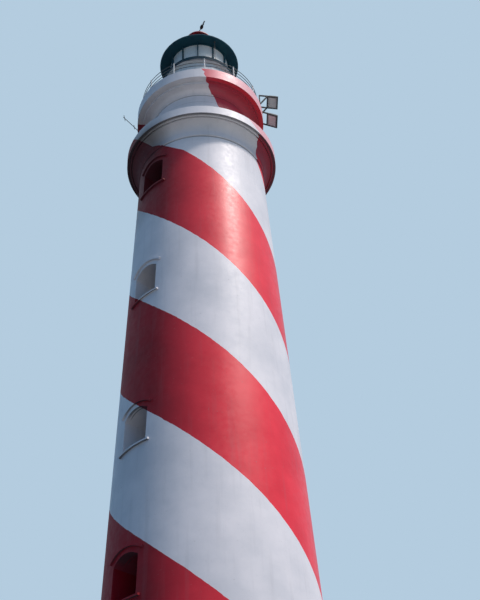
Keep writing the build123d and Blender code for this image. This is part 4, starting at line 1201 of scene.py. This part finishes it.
feathers = bmesh.new()
feather = [(x, -y) for x, y in FEATHER_HALF] + FEATHER_HALF[::-1]
for turn in (-45, 45):
    slab(feathers, vane_place @ tilted(turn, "X"), feather, -FEATHER_HALF_SHEET, FEATHER_HALF_SHEET)
place_piece("vane_feathers", feathers, dark_iron, body="vane", bevel=0.0006)

# %% [markdown]
# The camera stands on the ground close to the tower and looks steeply up, as a visitor would. Its
# focal length is known in pixels of a picture 600 high, and Blender wants millimetres on a sensor,
# so the one is turned into the other. The camera is rolled a little, which makes the tower lean.

# %% Camera
CAMERA_DISTANCE = 13.6
CAMERA_HEIGHT = 0.8
PITCH = radians(40.75)
HEADING = radians(2.60)
ROLL = radians(-3.05)
FOCAL_PIXELS = 1026.0
FRAME_HEIGHT = 600
SENSOR = 36.0
VIEW_REACH = 500

forward = Vector((sin(HEADING) * cos(PITCH), cos(HEADING) * cos(PITCH), sin(PITCH)))
level = Vector((cos(HEADING), -sin(HEADING), 0))
upright = level.cross(forward)
right = level * cos(ROLL) + upright * sin(ROLL)
top = -level * sin(ROLL) + upright * cos(ROLL)
camera_data = bpy.data.cameras.new("visitor_camera")
camera_data.sensor_width = SENSOR
camera_data.lens = FOCAL_PIXELS * SENSOR / FRAME_HEIGHT
camera_data.clip_end = VIEW_REACH
camera = bpy.data.objects.new("visitor_camera", camera_data)
bpy.context.scene.collection.objects.link(camera)
camera.matrix_world = shifted(0, -CAMERA_DISTANCE, CAMERA_HEIGHT) @ upright_axes(right, top, -forward)
bpy.context.scene.camera = camera
print("lens in millimetres:", round(camera_data.lens, 2))

# %% [markdown]
# The key light stands high on the right, like a sun near noon. One lamp gives its crisp shadows, and
# a wide one round it softens them as haze does. Both are kept low enough that white paint does not
# clip.

# %% Lamps
SUN_AZIMUTH = radians(58)
SUN_ELEVATION = radians(58.5)
# Name, strength and width in degrees of each lamp
SUNS = (("high_sun", 2.65, 6), ("haze_round_the_sun", 1.18, 34))

towards_sun = Vector(
    (sin(SUN_AZIMUTH) * cos(SUN_ELEVATION), -cos(SUN_AZIMUTH) * cos(SUN_ELEVATION), sin(SUN_ELEVATION))
)
for name, energy, spread in SUNS:
    lamp_data = bpy.data.lights.new(name, "SUN")
    lamp_data.energy = energy
    lamp_data.color = linear("FFF4EC")[:3]
    lamp_data.angle = radians(spread)
    lamp = bpy.data.objects.new(name, lamp_data)
    lamp.rotation_mode = "QUATERNION"
    lamp.rotation_quaternion = towards_sun.to_track_quat("Z", "Y")
    bpy.context.scene.collection.objects.link(lamp)
print("the key light stands", round(SUN_ELEVATION * 180 / pi), "degrees high")

# %% [markdown]
# A dim bluish sky fills the shaded side. The pale background is only what the camera, reflections
# and glass see, so it adds no light to the wall. The Light Path node tells those rays apart.

# %% Sky and background
def seen_ray(tree):
    """A socket that is 1 for rays that carry the picture, not the light."""
    path = add(tree, "LightPath").node.outputs
    sharp = add(tree, "Math", [path["Is Camera Ray"], path["Is Glossy Ray"]], operation="MAXIMUM")
    return add(tree, "Math", [sharp, path["Is Transmission Ray"]], operation="MAXIMUM")


world = bpy.data.worlds.new("studio")
bpy.context.scene.world = world
world.use_nodes = True
sky = world.node_tree
sky.nodes.clear()
fill_light = add(sky, "Background", [linear("3E78A8"), 0.95])
backdrop = add(sky, "Background", [linear("B4CCDF"), 1.0])
add(sky, "OutputWorld", {"Surface": add(sky, "MixShader", [seen_ray(sky), fill_light, backdrop])})
print("world:", world.name)

# %% [markdown]
# The floor is plain and pale to the eye and carries the tower's shadow. The light that it throws
# back up is another matter: the ground on the sunny side is light and lifts the undersides there,
# and on the lee side it is dark. So the floor has one tone for the picture and two for the light.

# %% Floor
FLOOR_HALF = 500.0
SUNNY_GROUND = (0.0, 14.0)

floor_mesh = bpy.data.meshes.new("studio_floor")
corners = [(-FLOOR_HALF, -FLOOR_HALF, 0), (FLOOR_HALF, -FLOOR_HALF, 0), (FLOOR_HALF, FLOOR_HALF, 0),
           (-FLOOR_HALF, FLOOR_HALF, 0)]
floor_mesh.from_pydata(corners, [], [(0, 1, 2, 3)])
floor = bpy.data.objects.new("studio_floor", floor_mesh)
bpy.context.scene.collection.objects.link(floor)
floor_paint, floor_tree, floor_place = new_material("matt_studio_floor")
floor_x, floor_y, _ = add(floor_tree, "SeparateXYZ", [floor_place]).node.outputs
sideways = add(floor_tree, "Math", [floor_x, floor_y], operation="SUBTRACT")
sunny_ground = add(floor_tree, "MapRange", [sideways, *SUNNY_GROUND])
cast_tone = add(floor_tree, "Mix", [sunny_ground, linear("1E2226"), linear("ACA99F")], data_type="RGBA")
floor_tone = add(floor_tree, "Mix", [seen_ray(floor_tree), cast_tone, linear("A9B1B6")], data_type="RGBA")
shade(floor_paint, {"Base Color": floor_tone, "Roughness": 0.9})
floor.data.materials.append(floor_paint)
print("floor:", 2 * FLOOR_HALF, "m across")

# %% [markdown]
# The picture uses the Standard view, in which a colour comes out as it was chosen.

# %% View
bpy.context.scene.view_settings.view_transform = "Standard"
